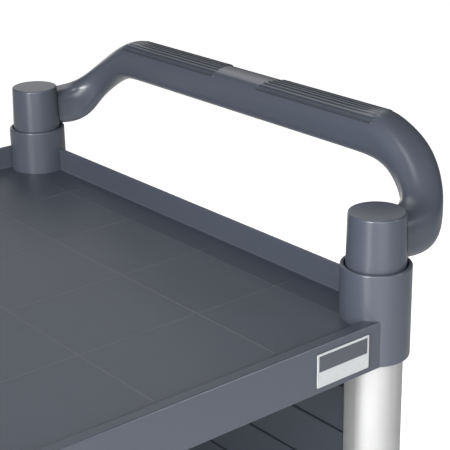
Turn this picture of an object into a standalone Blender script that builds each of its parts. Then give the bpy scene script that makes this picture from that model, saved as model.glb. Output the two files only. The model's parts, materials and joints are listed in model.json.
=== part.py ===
"""Service cart: three moulded tray shelves on aluminium posts, with grooved end panels, push handles and castors.

Metres, +Z up. The origin is on the floor under the middle of the cart. +X points to the end whose castors
have brakes, and +Y to the side with the raised back wall; the front, at -Y, has only a low rim.
"""
import math

import bmesh
import bpy
from mathutils import Matrix, Vector

# Gap kept between neighbouring pieces; how far joined shapes run into each other, and cutters past what they cut
FIT = 0.0003
JOIN = 0.0005
OVERRUN = 0.0100
# Drawn size of the empties that mark the joints' axes
AXIS_MARK = 0.0200

# Posts: eight tube lengths, four under each of the two upper shelves
POST_SPACING_X = 0.780
POST_SPACING_Y = 0.430
POST_RADIUS = 0.0201
POST_WALL = 0.0016

# Shelf levels, measured between the tops of their floors
SHELF_PITCH = 0.330
SHELF_NAMES = ("bottom", "middle", "top")

# Shelf moulding; the distances "out" are measured outward from the post axes
FLOOR_THICKNESS = 0.0035
SKIRT_DROP = 0.0289
SKIRT_THICKNESS = 0.0028
WALL_RISE = 0.0198
END_WALL_OUT = 0.0079
BACK_WALL_OUT = 0.0140
FRONT_FLOOR_OUT = 0.0028
FRONT_RAMP_OUT = 0.0150
FRONT_FACE_OUT = 0.0198
FRONT_RIM_RISE = 0.0053
FRONT_EDGE_CHAMFER = 0.0012
RIB_THICKNESS = 0.0024
RIB_DROP = 0.0190
RIB_CELLS_X = 9
RIB_CELLS_Y = 5

# Collars: the sockets at a shelf's corners
COLLAR_RADIUS = 0.0246
COLLAR_RISE = 0.0378
COLLAR_MOUTH_RADIUS = 0.0218
COLLAR_MOUTH_DEPTH = 0.0080
COLLAR_STEPS = 20

# Handles; the loft's control sections are placed out from a post axis, in along the end, and above the top floor
CAP_TOP_RADIUS = 0.0199
CAP_FOOT_RADIUS = 0.0208
CAP_RISE = 0.0747
CAP_EDGE = 0.0012
ARM_CLEARANCE = 0.0042
ROOT_OUT = 0.0080
ROOT_HALF_WIDTH = 0.0133
ROOT_HALF_HEIGHT = 0.0165
ELBOW_OUT = 0.0365
ELBOW_DROP = 0.0062
ELBOW_HALF_HEIGHT = 0.0172
ARM_OUT = 0.0563
ARM_IN = 0.0059
ARM_RISE = 0.0614
ARM_HALF_WIDTH = 0.0137
ARM_HALF_HEIGHT = 0.0126
SHOULDER_IN = 0.0330
SHOULDER_DROP = 0.0122
SHOULDER_HALF_WIDTH = 0.0166
SHOULDER_HALF_HEIGHT = 0.0110
CORNER_IN = 0.0535
CORNER_HALF_HEIGHT = 0.0134
BAR_OUT = 0.0690
BAR_RISE = 0.1003
BAR_IN = 0.0680
BAR_STRAIGHT_IN = 0.1200
BAR_HALF_WIDTH = 0.0184
BAR_HALF_HEIGHT = 0.0154
ROOT_CORNER_RADIUS = 0.0060
ARM_CORNER_RADIUS = 0.0078
BAR_CORNER_RADIUS = 0.0098
HANDLE_CURVE_STEPS = 3
GRIP_CORNER_STEPS = 2

# End panels: plank-like boards between the posts of an end, under the middle and the top shelf
PANEL_FACE_IN = 0.0086
PANEL_THICKNESS = 0.0070
PANEL_GROOVE_PITCH = 0.0373
PANEL_TOP_GROOVE_DROP = 0.0592
PANEL_GROOVE_DEPTH = 0.0020
PANEL_GROOVE_CHAMFER = 0.0050
PANEL_GROOVE_DRAFT = 0.0006

# Blank label plate on the front skirt of the top shelf
LABEL_LENGTH = 0.0465
LABEL_HEIGHT = 0.0240
LABEL_THICKNESS = 0.0006
LABEL_FROM_POST = 0.0260
LABEL_TOP_DROP = 0.0003

# Castors
WHEEL_RADIUS = 0.050
TYRE_WIDTH = 0.030
TYRE_DEPTH = 0.0110
TYRE_SHOULDER = 0.0040
WHEEL_STEPS = 24
HUB_RADIUS = 0.0110
HUB_WIDTH = 0.0330
RIM_WIDTH = 0.0270
TRAIL = 0.035
AXLE_RADIUS = 0.0040
AXLE_HEAD_RADIUS = 0.0074
AXLE_HEAD_THICKNESS = 0.0055
FORK_INSIDE = 0.0340
FORK_SHEET = 0.0025
FORK_CROWN_HALF = 0.0220
FORK_HEADROOM = 0.0195
FORK_CROWN_SIDE = 0.0135
FORK_REAR_OUT = 0.0400
FORK_EYE_RADIUS = 0.0105
FORK_EYE_STEPS = 8
LOWER_RACE_RADIUS = 0.0190
LOWER_RACE_RISE = 0.0105
KINGPIN_RADIUS = 0.0050
KINGPIN_HEAD_RADIUS = 0.0085
KINGPIN_HEAD_THICKNESS = 0.0030
STEM_RADIUS = 0.0060
STEM_LENGTH = 0.0240
RACE_RADIUS = 0.0220
RACE_SHEET = 0.0020
RACE_RISE = 0.0120
PLUG_FLANGE_RADIUS = 0.0236
PLUG_FLANGE_THICKNESS = 0.0075
PLUG_LENGTH = 0.0240
TURNED_STEPS = 16
PIN_STEPS = 12

# Brake pedals, on the castors of the +X end
PEDAL_PIVOT_OUT = 0.0300
PEDAL_PIVOT_DROP = 0.0095
PEDAL_PIN_RADIUS = 0.0030
PEDAL_PIN_PROUD = 0.0010
PEDAL_HUB_RADIUS = 0.0055
PEDAL_HUB_WIDTH = 0.0260
PEDAL_OVERHANG = 0.0030
PEDAL_ARM_WIDTH = 0.0240
PEDAL_PAD_WIDTH = 0.0400
PEDAL_PAD_LENGTH = 0.0260
PEDAL_PAD_PROUD = 0.0010
PEDAL_THICKNESS = 0.0040
PEDAL_RISE = 0.0085

POST_X = POST_SPACING_X / 2
POST_Y = POST_SPACING_Y / 2
FORK_CROWN_HEIGHT = 2 * WHEEL_RADIUS + FORK_HEADROOM
LOWER_RACE_TOP = FORK_CROWN_HEIGHT + LOWER_RACE_RISE
RACE_TOP = LOWER_RACE_TOP + RACE_RISE
BOTTOM_FLOOR_HEIGHT = RACE_TOP + PLUG_FLANGE_THICKNESS + 2 * FIT + SKIRT_DROP
PEDAL_PIVOT_HEIGHT = FORK_CROWN_HEIGHT - PEDAL_PIVOT_DROP
FLOOR_HEIGHTS = [BOTTOM_FLOOR_HEIGHT + level * SHELF_PITCH for level in range(len(SHELF_NAMES))]
SOCKET_RADIUS = POST_RADIUS + FIT
AXLE_HEIGHT = WHEEL_RADIUS * math.cos(math.pi / WHEEL_STEPS)
CORNERS = {
    "front_left": (-POST_X, -POST_Y),
    "front_right": (POST_X, -POST_Y),
    "back_left": (-POST_X, POST_Y),
    "back_right": (POST_X, POST_Y),
}

GREY_PLASTIC = ("slate_plastic", (0.095, 0.108, 0.128), 0.45, 0.0)
PANEL_PLASTIC = ("panel_plastic", (0.080, 0.090, 0.108), 0.50, 0.0)
ALUMINIUM = ("satin_aluminium", (0.78, 0.79, 0.80), 0.32, 1.0)
LABEL_FACE = ("label_face", (0.62, 0.64, 0.67), 0.40, 0.0)
ZINC = ("zinc_plated_steel", (0.62, 0.63, 0.65), 0.35, 1.0)
BLACK_PLASTIC = ("black_plastic", (0.030, 0.032, 0.035), 0.50, 0.0)
HUB_PLASTIC = ("wheel_core_plastic", (0.060, 0.064, 0.070), 0.50, 0.0)
TYRE_RUBBER = ("grey_tyre_rubber", (0.200, 0.205, 0.215), 0.70, 0.0)


def remove_scene_objects():
    for item in list(bpy.data.objects):
        bpy.data.objects.remove(item, do_unlink=True)


def new_collection(name):
    collection = bpy.data.collections.new(name)
    bpy.context.scene.collection.children.link(collection)
    return collection


def get_material(finish):
    name, colour, roughness, metallic = finish
    material = bpy.data.materials.get(name)
    if material is None:
        material = bpy.data.materials.new(name)
        material.use_nodes = True
        shader = material.node_tree.nodes["Principled BSDF"]
        shader.inputs["Base Color"].default_value = (*colour, 1.0)
        shader.inputs["Roughness"].default_value = roughness
        shader.inputs["Metallic"].default_value = metallic
    return material


def place(name, mesh, finish, location=(0.0, 0.0, 0.0), parent=None):
    """Add one finished piece to the cart, with its own material slot and smooth round faces."""
    piece = bpy.data.objects.new(name, mesh)
    if not mesh.materials:
        mesh.materials.append(get_material(finish))
        mesh.shade_smooth()
        mesh.set_sharp_from_angle(angle=math.radians(30))
    piece.location = location
    piece.parent = parent
    CART.objects.link(piece)
    return piece


def place_axis(name, location, parent=None):
    """Add an empty on a joint's axis, to carry the pieces that turn there."""
    axis = bpy.data.objects.new(name, None)
    axis.empty_display_size = AXIS_MARK
    axis.location = location
    axis.parent = parent
    CART.objects.link(axis)
    return axis


def mesh_from(builder, name):
    mesh = bpy.data.meshes.new(name)
    builder.to_mesh(mesh)
    builder.free()
    return mesh


def evaluated_mesh(item):
    """Read an object's modifiers, or a curve's solid, into a mesh of its own, and remove the object."""
    bpy.context.view_layer.update()
    graph = bpy.context.evaluated_depsgraph_get()
    mesh = bpy.data.meshes.new_from_object(item.evaluated_get(graph))
    bpy.data.objects.remove(item, do_unlink=True)
    return mesh


def workshop_object(name, data):
    """Link a temporary object to the cutters' collection."""
    item = bpy.data.objects.new(name, data)
    item.hide_render = True
    item.display_type = "WIRE"
    CUTTERS.objects.link(item)
    return item


def boolean(mesh, tool, operation):
    """Cut a mesh with another, or join them into one closed body."""
    target = workshop_object("target", mesh)
    cutter = workshop_object("cutter", tool)
    modifier = target.modifiers.new(operation.lower(), "BOOLEAN")
    modifier.operation = operation
    modifier.solver = "EXACT"
    modifier.object = cutter
    result = evaluated_mesh(target)
    bpy.data.objects.remove(cutter, do_unlink=True)
    return result


def box_mesh(*bounds):
    """Make a mesh of boxes, each given by its low and its high corner."""
    builder = bmesh.new()
    for low, high in bounds:
        size = Vector(high) - Vector(low)
        centre = (Vector(high) + Vector(low)) / 2
        matrix = Matrix.Translation(centre) @ Matrix.Diagonal((*size, 1.0))
        bmesh.ops.create_cube(builder, size=1.0, matrix=matrix)
    return mesh_from(builder, "boxes")


def cylinder_mesh(radius, bottom, top, centres=((0.0, 0.0),), steps=COLLAR_STEPS):
    """Make a mesh of equal upright cylinders."""
    builder = bmesh.new()
    for x, y in centres:
        matrix = Matrix.Translation((x, y, (top + bottom) / 2))
        bmesh.ops.create_cone(builder, cap_ends=True, segments=steps, radius1=radius, radius2=radius,
                              depth=top - bottom, matrix=matrix)
    return mesh_from(builder, "cylinders")


def turned_mesh(profile, steps=TURNED_STEPS, ring=False):
    """Turn a profile of (radius, height) points about Z; it runs down the outer side, top to bottom."""
    edges = [(index, index + 1) for index in range(len(profile) - 1)]
    if ring:
        edges.append((len(profile) - 1, 0))
    outline = bpy.data.meshes.new("profile")
    outline.from_pydata([(radius, 0.0, height) for radius, height in profile], edges, [])
    item = workshop_object("turned", outline)
    screw = item.modifiers.new("turn", "SCREW")
    screw.steps = steps
    screw.render_steps = steps
    screw.use_merge_vertices = True
    screw.merge_threshold = 0.00001
    return evaluated_mesh(item)


def plate_mesh(outline, thickness):
    """Make a flat plate in the XZ plane from its (x, z) outline, centred on Y."""
    curve = bpy.data.curves.new("plate", "CURVE")
    curve.dimensions = "2D"
    curve.fill_mode = "BOTH"
    curve.extrude = thickness / 2
    spline = curve.splines.new("POLY")
    spline.points.add(len(outline) - 1)
    for point, (x, z) in zip(spline.points, outline):
        point.co = (x, z, 0.0, 1.0)
    spline.use_cyclic_u = True
    mesh = evaluated_mesh(workshop_object("plate", curve))
    welded = bmesh.new()
    welded.from_mesh(mesh)
    bmesh.ops.remove_doubles(welded, verts=welded.verts, dist=0.00001)
    bmesh.ops.rotate(welded, verts=welded.verts, matrix=Matrix.Rotation(math.pi / 2, 3, "X"))
    return mesh_from(welded, "plate")


def moved(mesh, offset=(0.0, 0.0, 0.0), turn=0.0, axis="Z"):
    """Turn a mesh about an axis through the origin, then shift it."""
    mesh.transform(Matrix.Translation(offset) @ Matrix.Rotation(turn, 4, axis))
    return mesh


def arc(centre, radius, start, end, steps):
    """Points along an arc in a plane, with angles in radians."""
    angles = [start + (end - start) * step / steps for step in range(steps + 1)]
    return [(centre[0] + radius * math.cos(angle), centre[1] + radius * math.sin(angle)) for angle in angles]


def shelf_slab_mesh():
    """The tray itself: floor, skirts and walls as one block, before it is hollowed."""
    outer_x = POST_X + END_WALL_OUT + SKIRT_THICKNESS
    outer_back = POST_Y + BACK_WALL_OUT + SKIRT_THICKNESS
    outer_front = -POST_Y - FRONT_FACE_OUT
    return box_mesh(((-outer_x, outer_front, -SKIRT_DROP), (outer_x, outer_back, WALL_RISE)))


def tray_cutter_mesh():
    """The space above the floor: inside three raised walls, and over the low front rim."""
    inner_x = POST_X + END_WALL_OUT
    front_face = -POST_Y - FRONT_FACE_OUT
    above = WALL_RISE + OVERRUN
    section = [
        (POST_Y + BACK_WALL_OUT, 0.0),
        (POST_Y + BACK_WALL_OUT, above),
        (front_face - OVERRUN, above),
        (front_face - OVERRUN, FRONT_RIM_RISE - FRONT_EDGE_CHAMFER - OVERRUN),
        (front_face, FRONT_RIM_RISE - FRONT_EDGE_CHAMFER),
        (front_face + FRONT_EDGE_CHAMFER, FRONT_RIM_RISE),
        (-POST_Y - FRONT_RAMP_OUT, FRONT_RIM_RISE),
        (-POST_Y - FRONT_FLOOR_OUT, 0.0),
    ]
    return moved(plate_mesh(section, 2 * inner_x), turn=math.pi / 2)


def underside_cutter_mesh():
    """The hollow under the floor: one space between the skirts, then the cells between the ribs."""
    half_x = POST_X + END_WALL_OUT
    front = -POST_Y - FRONT_FACE_OUT + SKIRT_THICKNESS
    back = POST_Y + BACK_WALL_OUT
    cell_x = (2 * half_x + RIB_THICKNESS) / RIB_CELLS_X
    cell_y = (back - front + RIB_THICKNESS) / RIB_CELLS_Y
    cells = []
    for column in range(RIB_CELLS_X):
        for row in range(RIB_CELLS_Y):
            low_x = -half_x + column * cell_x
            low_y = front + row * cell_y
            low = (low_x, low_y, -RIB_DROP - JOIN)
            high = (low_x + cell_x - RIB_THICKNESS, low_y + cell_y - RIB_THICKNESS, -FLOOR_THICKNESS)
            cells.append((low, high))
    hollow = ((-half_x, front, -SKIRT_DROP - OVERRUN), (half_x, back, -RIB_DROP))
    return box_mesh(hollow), box_mesh(*cells)


def shelf_mesh():
    """One shelf moulding, with the top of its floor at height zero."""
    hollow, cells = underside_cutter_mesh()
    mesh = boolean(shelf_slab_mesh(), hollow, "DIFFERENCE")
    mesh = boolean(mesh, cells, "DIFFERENCE")
    mesh = boolean(mesh, tray_cutter_mesh(), "DIFFERENCE")
    corners = list(CORNERS.values())
    mesh = boolean(mesh, cylinder_mesh(COLLAR_RADIUS, -SKIRT_DROP, COLLAR_RISE, corners), "UNION")
    above = COLLAR_RISE + OVERRUN
    below = -SKIRT_DROP - OVERRUN
    mouth_floor = COLLAR_RISE - COLLAR_MOUTH_DEPTH
    mesh = boolean(mesh, cylinder_mesh(COLLAR_MOUTH_RADIUS, mouth_floor, above, corners), "DIFFERENCE")
    mesh = boolean(mesh, cylinder_mesh(SOCKET_RADIUS, 0.0, mouth_floor + JOIN, corners), "DIFFERENCE")
    return boolean(mesh, cylinder_mesh(SOCKET_RADIUS, below, -FLOOR_THICKNESS, corners), "DIFFERENCE")


def post_mesh():
    """A tube between two shelves, from the floor of the lower socket to the roof of the upper one."""
    length = SHELF_PITCH - FLOOR_THICKNESS - FIT
    inner = POST_RADIUS - POST_WALL
    profile = [(POST_RADIUS, length), (POST_RADIUS, FIT), (inner, FIT), (inner, length)]
    return turned_mesh(profile, COLLAR_STEPS, ring=True)


def rounded_rectangle(half_width, half_height, radius, steps):
    outline = []
    corners = ((1, 1, 0.0), (-1, 1, math.pi / 2), (-1, -1, math.pi), (1, -1, 3 * math.pi / 2))
    for side, level, start in corners:
        centre = (side * (half_width - radius), level * (half_height - radius))
        outline += arc(centre, radius, start, start + math.pi / 2, steps)
    return outline


def handle_path():
    """Control sections (x, y, z, half width, half height, corner radius) from one post round to the other."""
    root_rise = COLLAR_RISE + ARM_CLEARANCE + ROOT_HALF_HEIGHT
    bar = (BAR_HALF_WIDTH, BAR_HALF_HEIGHT, BAR_CORNER_RADIUS)
    half = [
        (ROOT_OUT, 0.0, root_rise, ROOT_HALF_WIDTH, ROOT_HALF_HEIGHT, ROOT_CORNER_RADIUS),
        (ELBOW_OUT, 0.0, root_rise - ELBOW_DROP, ROOT_HALF_WIDTH, ELBOW_HALF_HEIGHT, ROOT_CORNER_RADIUS),
        (ARM_OUT, ARM_IN, ARM_RISE, ARM_HALF_WIDTH, ARM_HALF_HEIGHT, ARM_CORNER_RADIUS),
        (BAR_OUT, SHOULDER_IN, BAR_RISE - SHOULDER_DROP, SHOULDER_HALF_WIDTH, SHOULDER_HALF_HEIGHT,
         ARM_CORNER_RADIUS),
        (BAR_OUT, CORNER_IN, BAR_RISE, BAR_HALF_WIDTH, CORNER_HALF_HEIGHT, BAR_CORNER_RADIUS),
        (BAR_OUT, BAR_IN, BAR_RISE, *bar),
        (BAR_OUT, BAR_STRAIGHT_IN, BAR_RISE, *bar),
    ]
    near = [(x, -POST_Y + inward, *rest) for x, inward, *rest in half]
    far = [(x, POST_Y - inward, *rest) for x, inward, *rest in reversed(half)]
    return near + far


def spline(rows, steps):
    """Rows along a uniform cubic B-spline that starts and ends on the outer control rows."""
    padded = [rows[0]] * 2 + rows + [rows[-1]] * 2
    points = []
    for index in range(len(padded) - 3):
        for step in range(steps):
            u = step / steps
            weights = ((1 - u) ** 3, 3 * u ** 3 - 6 * u ** 2 + 4, 3 * (u + u ** 2 - u ** 3) + 1, u ** 3)
            columns = zip(*padded[index:index + 4])
            points.append([sum(weight * value for weight, value in zip(weights, column)) / 6 for column in columns])
    return points + [list(rows[-1])]


def arm_mesh():
    """The bar and its two arms: a loft of rounded sections, kept level across, along the path."""
    stations = spline(handle_path(), HANDLE_CURVE_STEPS)
    places = [Vector(station[:3]) for station in stations]
    builder = bmesh.new()
    rings = []
    for index, (place_here, station) in enumerate(zip(places, stations)):
        ahead = places[min(index + 1, len(places) - 1)] - places[max(index - 1, 0)]
        side = ahead.cross(Vector((0.0, 0.0, 1.0))).normalized()
        up = side.cross(ahead).normalized()
        outline = rounded_rectangle(*station[3:], GRIP_CORNER_STEPS)
        rings.append([builder.verts.new(place_here + side * across + up * rise) for across, rise in outline])
    for near, far in zip(rings, rings[1:]):
        for index in range(len(near)):
            builder.faces.new((near[index - 1], near[index], far[index], far[index - 1]))
    builder.faces.new(rings[0])
    builder.faces.new(rings[-1])
    bmesh.ops.recalc_face_normals(builder, faces=builder.faces)
    return mesh_from(builder, "arm")


def cap_mesh():
    """A handle's end cap, with the plug below it that fills the collar's socket."""
    profile = [
        (0.0, CAP_RISE),
        (CAP_TOP_RADIUS - CAP_EDGE, CAP_RISE),
        (CAP_TOP_RADIUS, CAP_RISE - CAP_EDGE),
        (CAP_FOOT_RADIUS, COLLAR_RISE - COLLAR_MOUTH_DEPTH + FIT),
        (POST_RADIUS, COLLAR_RISE - COLLAR_MOUTH_DEPTH + FIT),
        (POST_RADIUS, FIT),
        (0.0, FIT),
    ]
    return turned_mesh(profile, COLLAR_STEPS)


def handle_mesh():
    """A whole handle for the +X end, about the middle of that end's post axes."""
    mesh = arm_mesh()
    for y in (-POST_Y, POST_Y):
        mesh = boolean(mesh, moved(cap_mesh(), (0.0, y, 0.0)), "UNION")
    return mesh


def panel_mesh():
    """A grooved board for the +X end, x measured inward from the post axes as negative."""
    inner = -PANEL_FACE_IN
    outer = inner + PANEL_THICKNESS
    bottom = FIT
    top = SHELF_PITCH - RIB_DROP - FIT
    rows = math.floor((SHELF_PITCH - PANEL_TOP_GROOVE_DROP - bottom - PANEL_GROOVE_CHAMFER) / PANEL_GROOVE_PITCH)
    grooves = [SHELF_PITCH - PANEL_TOP_GROOVE_DROP - row * PANEL_GROOVE_PITCH for row in range(rows + 1)]
    inner_side = []
    outer_side = []
    for height in grooves:
        root = height - PANEL_GROOVE_DRAFT
        foot = height - PANEL_GROOVE_CHAMFER
        inner_side += [(inner, height), (inner + PANEL_GROOVE_DEPTH, root), (inner, foot)]
        outer_side += [(outer, height), (outer - PANEL_GROOVE_DEPTH, root), (outer, foot)]
    outline = [(outer, top), (inner, top)] + inner_side + [(inner, bottom), (outer, bottom)] + outer_side[::-1]
    width = 2 * (POST_Y - POST_RADIUS - FIT)
    mesh = plate_mesh(outline, width)
    collar_y = POST_Y - COLLAR_RADIUS - FIT
    notches = []
    for side in (-1, 1):
        for low, high in ((bottom - OVERRUN, COLLAR_RISE + FIT), (SHELF_PITCH - SKIRT_DROP - FIT, top + OVERRUN)):
            ys = sorted((side * collar_y, side * POST_Y))
            notches.append(((inner - OVERRUN, ys[0], low), (outer + OVERRUN, ys[1], high)))
    return boolean(mesh, box_mesh(*notches), "DIFFERENCE")


def wheel_core_mesh():
    """The castor wheel's core, turned about its axle: a disc with a longer hub."""
    rim = WHEEL_RADIUS - TYRE_DEPTH - FIT
    profile = [
        (HUB_RADIUS, HUB_WIDTH / 2),
        (HUB_RADIUS, RIM_WIDTH / 2),
        (rim, RIM_WIDTH / 2),
    ]
    lower = [(radius, -height) for radius, height in reversed(profile)]
    bore = AXLE_RADIUS + FIT
    return turned_mesh(profile + lower + [(bore, -HUB_WIDTH / 2), (bore, HUB_WIDTH / 2)], WHEEL_STEPS, ring=True)


def tyre_mesh():
    inner = WHEEL_RADIUS - TYRE_DEPTH
    half = TYRE_WIDTH / 2
    profile = [
        (inner, half),
        (WHEEL_RADIUS - TYRE_SHOULDER, half),
        (WHEEL_RADIUS, half - TYRE_SHOULDER),
        (WHEEL_RADIUS, TYRE_SHOULDER - half),
        (WHEEL_RADIUS - TYRE_SHOULDER, -half),
        (inner, -half),
    ]
    return turned_mesh(profile, WHEEL_STEPS, ring=True)


def fork_cheek_outline():
    """Side view of a fork cheek, from the crown down to the axle's eye, x measured from the swivel axis."""
    eye = (TRAIL, AXLE_HEIGHT)
    return [
        (FORK_REAR_OUT, FORK_CROWN_HEIGHT),
        (-FORK_CROWN_HALF, FORK_CROWN_HEIGHT),
        (-FORK_CROWN_HALF, FORK_CROWN_HEIGHT - FORK_CROWN_SIDE),
    ] + arc(eye, FORK_EYE_RADIUS, math.pi, 2 * math.pi, FORK_EYE_STEPS)


def fork_mesh(with_pedal):
    """The swivelling fork: two cheeks, the crown plate and the lower bearing race on it."""
    cheek_y = FORK_INSIDE / 2 + FORK_SHEET / 2
    crown_low = FORK_CROWN_HEIGHT - FORK_SHEET
    outer = FORK_INSIDE / 2 + FORK_SHEET
    mesh = box_mesh(((-FORK_CROWN_HALF, -outer, crown_low), (FORK_CROWN_HALF, outer, FORK_CROWN_HEIGHT)))
    for y in (-cheek_y, cheek_y):
        mesh = boolean(mesh, moved(plate_mesh(fork_cheek_outline(), FORK_SHEET), (0.0, y, 0.0)), "UNION")
    race = cylinder_mesh(LOWER_RACE_RADIUS, crown_low + JOIN, LOWER_RACE_TOP, steps=TURNED_STEPS)
    mesh = boolean(mesh, race, "UNION")
    pin_hole = cylinder_mesh(KINGPIN_RADIUS + FIT, crown_low - OVERRUN, LOWER_RACE_TOP + OVERRUN, steps=PIN_STEPS)
    mesh = boolean(mesh, pin_hole, "DIFFERENCE")
    holes = [(AXLE_RADIUS + FIT, TRAIL, AXLE_HEIGHT)]
    if with_pedal:
        holes.append((PEDAL_PIN_RADIUS + FIT, PEDAL_PIVOT_OUT, PEDAL_PIVOT_HEIGHT))
    for radius, x, z in holes:
        hole = cylinder_mesh(radius, -FORK_INSIDE, FORK_INSIDE, steps=PIN_STEPS)
        mesh = boolean(mesh, moved(hole, (x, 0.0, z), math.pi / 2, "X"), "DIFFERENCE")
    return mesh


def hexagon_mesh(radius, bottom, top):
    return cylinder_mesh(radius, bottom, top, steps=6)


def axle_bolt_mesh():
    """Bolt through the fork and the wheel, along Z: its head outside one cheek, its end level with the nut."""
    grip = FORK_INSIDE / 2 + FORK_SHEET + FIT
    shank_end = grip + AXLE_HEAD_THICKNESS
    head = hexagon_mesh(AXLE_HEAD_RADIUS, grip, grip + AXLE_HEAD_THICKNESS)
    shank = cylinder_mesh(AXLE_RADIUS, -shank_end, grip + AXLE_HEAD_THICKNESS / 2, steps=PIN_STEPS)
    return boolean(head, shank, "UNION")


def axle_nut_mesh():
    grip = FORK_INSIDE / 2 + FORK_SHEET + FIT
    nut = hexagon_mesh(AXLE_HEAD_RADIUS, -grip - AXLE_HEAD_THICKNESS, -grip)
    thread = cylinder_mesh(AXLE_RADIUS + FIT, -grip - 2 * AXLE_HEAD_THICKNESS, 0.0, steps=PIN_STEPS)
    return boolean(nut, thread, "DIFFERENCE")


def castor_stem_mesh(collar_bottom):
    """Kingpin and stem: riveted under the fork's crown, up through both races and into the corner plug."""
    crown_low = FORK_CROWN_HEIGHT - FORK_SHEET
    head_top = crown_low - FIT
    profile = [
        (0.0, collar_bottom + STEM_LENGTH),
        (STEM_RADIUS, collar_bottom + STEM_LENGTH),
        (STEM_RADIUS, RACE_TOP - RACE_SHEET - FIT),
        (KINGPIN_RADIUS, RACE_TOP - RACE_SHEET - FIT),
        (KINGPIN_RADIUS, head_top),
        (KINGPIN_HEAD_RADIUS, head_top),
        (KINGPIN_HEAD_RADIUS, head_top - KINGPIN_HEAD_THICKNESS),
        (0.0, head_top - KINGPIN_HEAD_THICKNESS),
    ]
    return turned_mesh(profile)


def upper_race_mesh():
    """Pressed bearing cup that stays with the stem and covers the fork's lower race."""
    skirt = LOWER_RACE_RADIUS + FIT
    roof = RACE_TOP - RACE_SHEET
    low = LOWER_RACE_TOP - RACE_SHEET
    hole = STEM_RADIUS + FIT
    profile = [
        (hole, RACE_TOP),
        (skirt, RACE_TOP),
        (RACE_RADIUS, roof),
        (RACE_RADIUS, low),
        (skirt + FIT, low),
        (skirt + FIT, LOWER_RACE_TOP + FIT),
        (hole, LOWER_RACE_TOP + FIT),
    ]
    return turned_mesh(profile, ring=True)


def corner_plug_mesh(collar_bottom):
    """Plastic plug in a bottom collar's socket, flanged below it, that holds the stem."""
    flange_top = collar_bottom - FIT
    hole = STEM_RADIUS + FIT
    profile = [
        (POST_RADIUS, collar_bottom + PLUG_LENGTH),
        (POST_RADIUS, flange_top),
        (PLUG_FLANGE_RADIUS, flange_top),
        (PLUG_FLANGE_RADIUS, RACE_TOP + FIT),
        (hole, RACE_TOP + FIT),
        (hole, collar_bottom + PLUG_LENGTH),
    ]
    return turned_mesh(profile, COLLAR_STEPS, ring=True)


def pedal_mesh():
    """Brake pedal about its pivot: a pin held in both cheeks, a hub, and a bent arm that ends in a foot pad."""
    tip = TRAIL + WHEEL_RADIUS + PEDAL_OVERHANG - PEDAL_PIVOT_OUT
    pad_start = tip - PEDAL_PAD_LENGTH
    low = PEDAL_RISE - PEDAL_THICKNESS
    half_web = PEDAL_THICKNESS / 2
    outline = [
        (-half_web, -half_web),
        (half_web, -half_web),
        (half_web, low),
        (pad_start + JOIN, low),
        (pad_start + JOIN, PEDAL_RISE),
        (-half_web, PEDAL_RISE),
    ]
    arm = plate_mesh(outline, PEDAL_ARM_WIDTH)
    half_pad = PEDAL_PAD_WIDTH / 2
    pad = box_mesh(((pad_start, -half_pad, low - JOIN), (tip, half_pad, PEDAL_RISE + PEDAL_PAD_PROUD)))
    hub = cylinder_mesh(PEDAL_HUB_RADIUS, -PEDAL_HUB_WIDTH / 2, PEDAL_HUB_WIDTH / 2, steps=PIN_STEPS)
    pin_half = FORK_INSIDE / 2 + FORK_SHEET + PEDAL_PIN_PROUD
    pin = cylinder_mesh(PEDAL_PIN_RADIUS, -pin_half, pin_half, steps=PIN_STEPS)
    mesh = boolean(moved(hub, turn=math.pi / 2, axis="X"), arm, "UNION")
    mesh = boolean(mesh, pad, "UNION")
    return boolean(mesh, moved(pin, turn=math.pi / 2, axis="X"), "UNION")


def build_shelves():
    mesh = shelf_mesh()
    for name, height in zip(SHELF_NAMES, FLOOR_HEIGHTS):
        place(f"{name}_shelf", mesh, GREY_PLASTIC, (0.0, 0.0, height))


def build_posts():
    mesh = post_mesh()
    for tier, height in zip(("lower", "upper"), FLOOR_HEIGHTS):
        for corner, (x, y) in CORNERS.items():
            place(f"{tier}_post_{corner}", mesh, ALUMINIUM, (x, y, height))


def build_ends():
    """Handles and end panels: made for the +X end, and turned half round for the other."""
    handle = handle_mesh()
    panel = panel_mesh()
    for side, x, turn in (("right", POST_X, 0.0), ("left", -POST_X, math.pi)):
        item = place(f"push_handle_{side}", handle, GREY_PLASTIC, (x, 0.0, FLOOR_HEIGHTS[-1]))
        item.rotation_euler.z = turn
        for tier, height in zip(("lower", "upper"), FLOOR_HEIGHTS):
            item = place(f"{tier}_end_panel_{side}", panel, PANEL_PLASTIC, (x, 0.0, height))
            item.rotation_euler.z = turn


def build_label():
    """Blank plate on the top shelf's front skirt, by the +X post."""
    right = POST_X - LABEL_FROM_POST
    top = FLOOR_HEIGHTS[-1] - LABEL_TOP_DROP
    back = -POST_Y - FRONT_FACE_OUT - FIT
    mesh = box_mesh(((right - LABEL_LENGTH, back - LABEL_THICKNESS, top - LABEL_HEIGHT), (right, back, top)))
    place("label_plate", mesh, LABEL_FACE)


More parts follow.
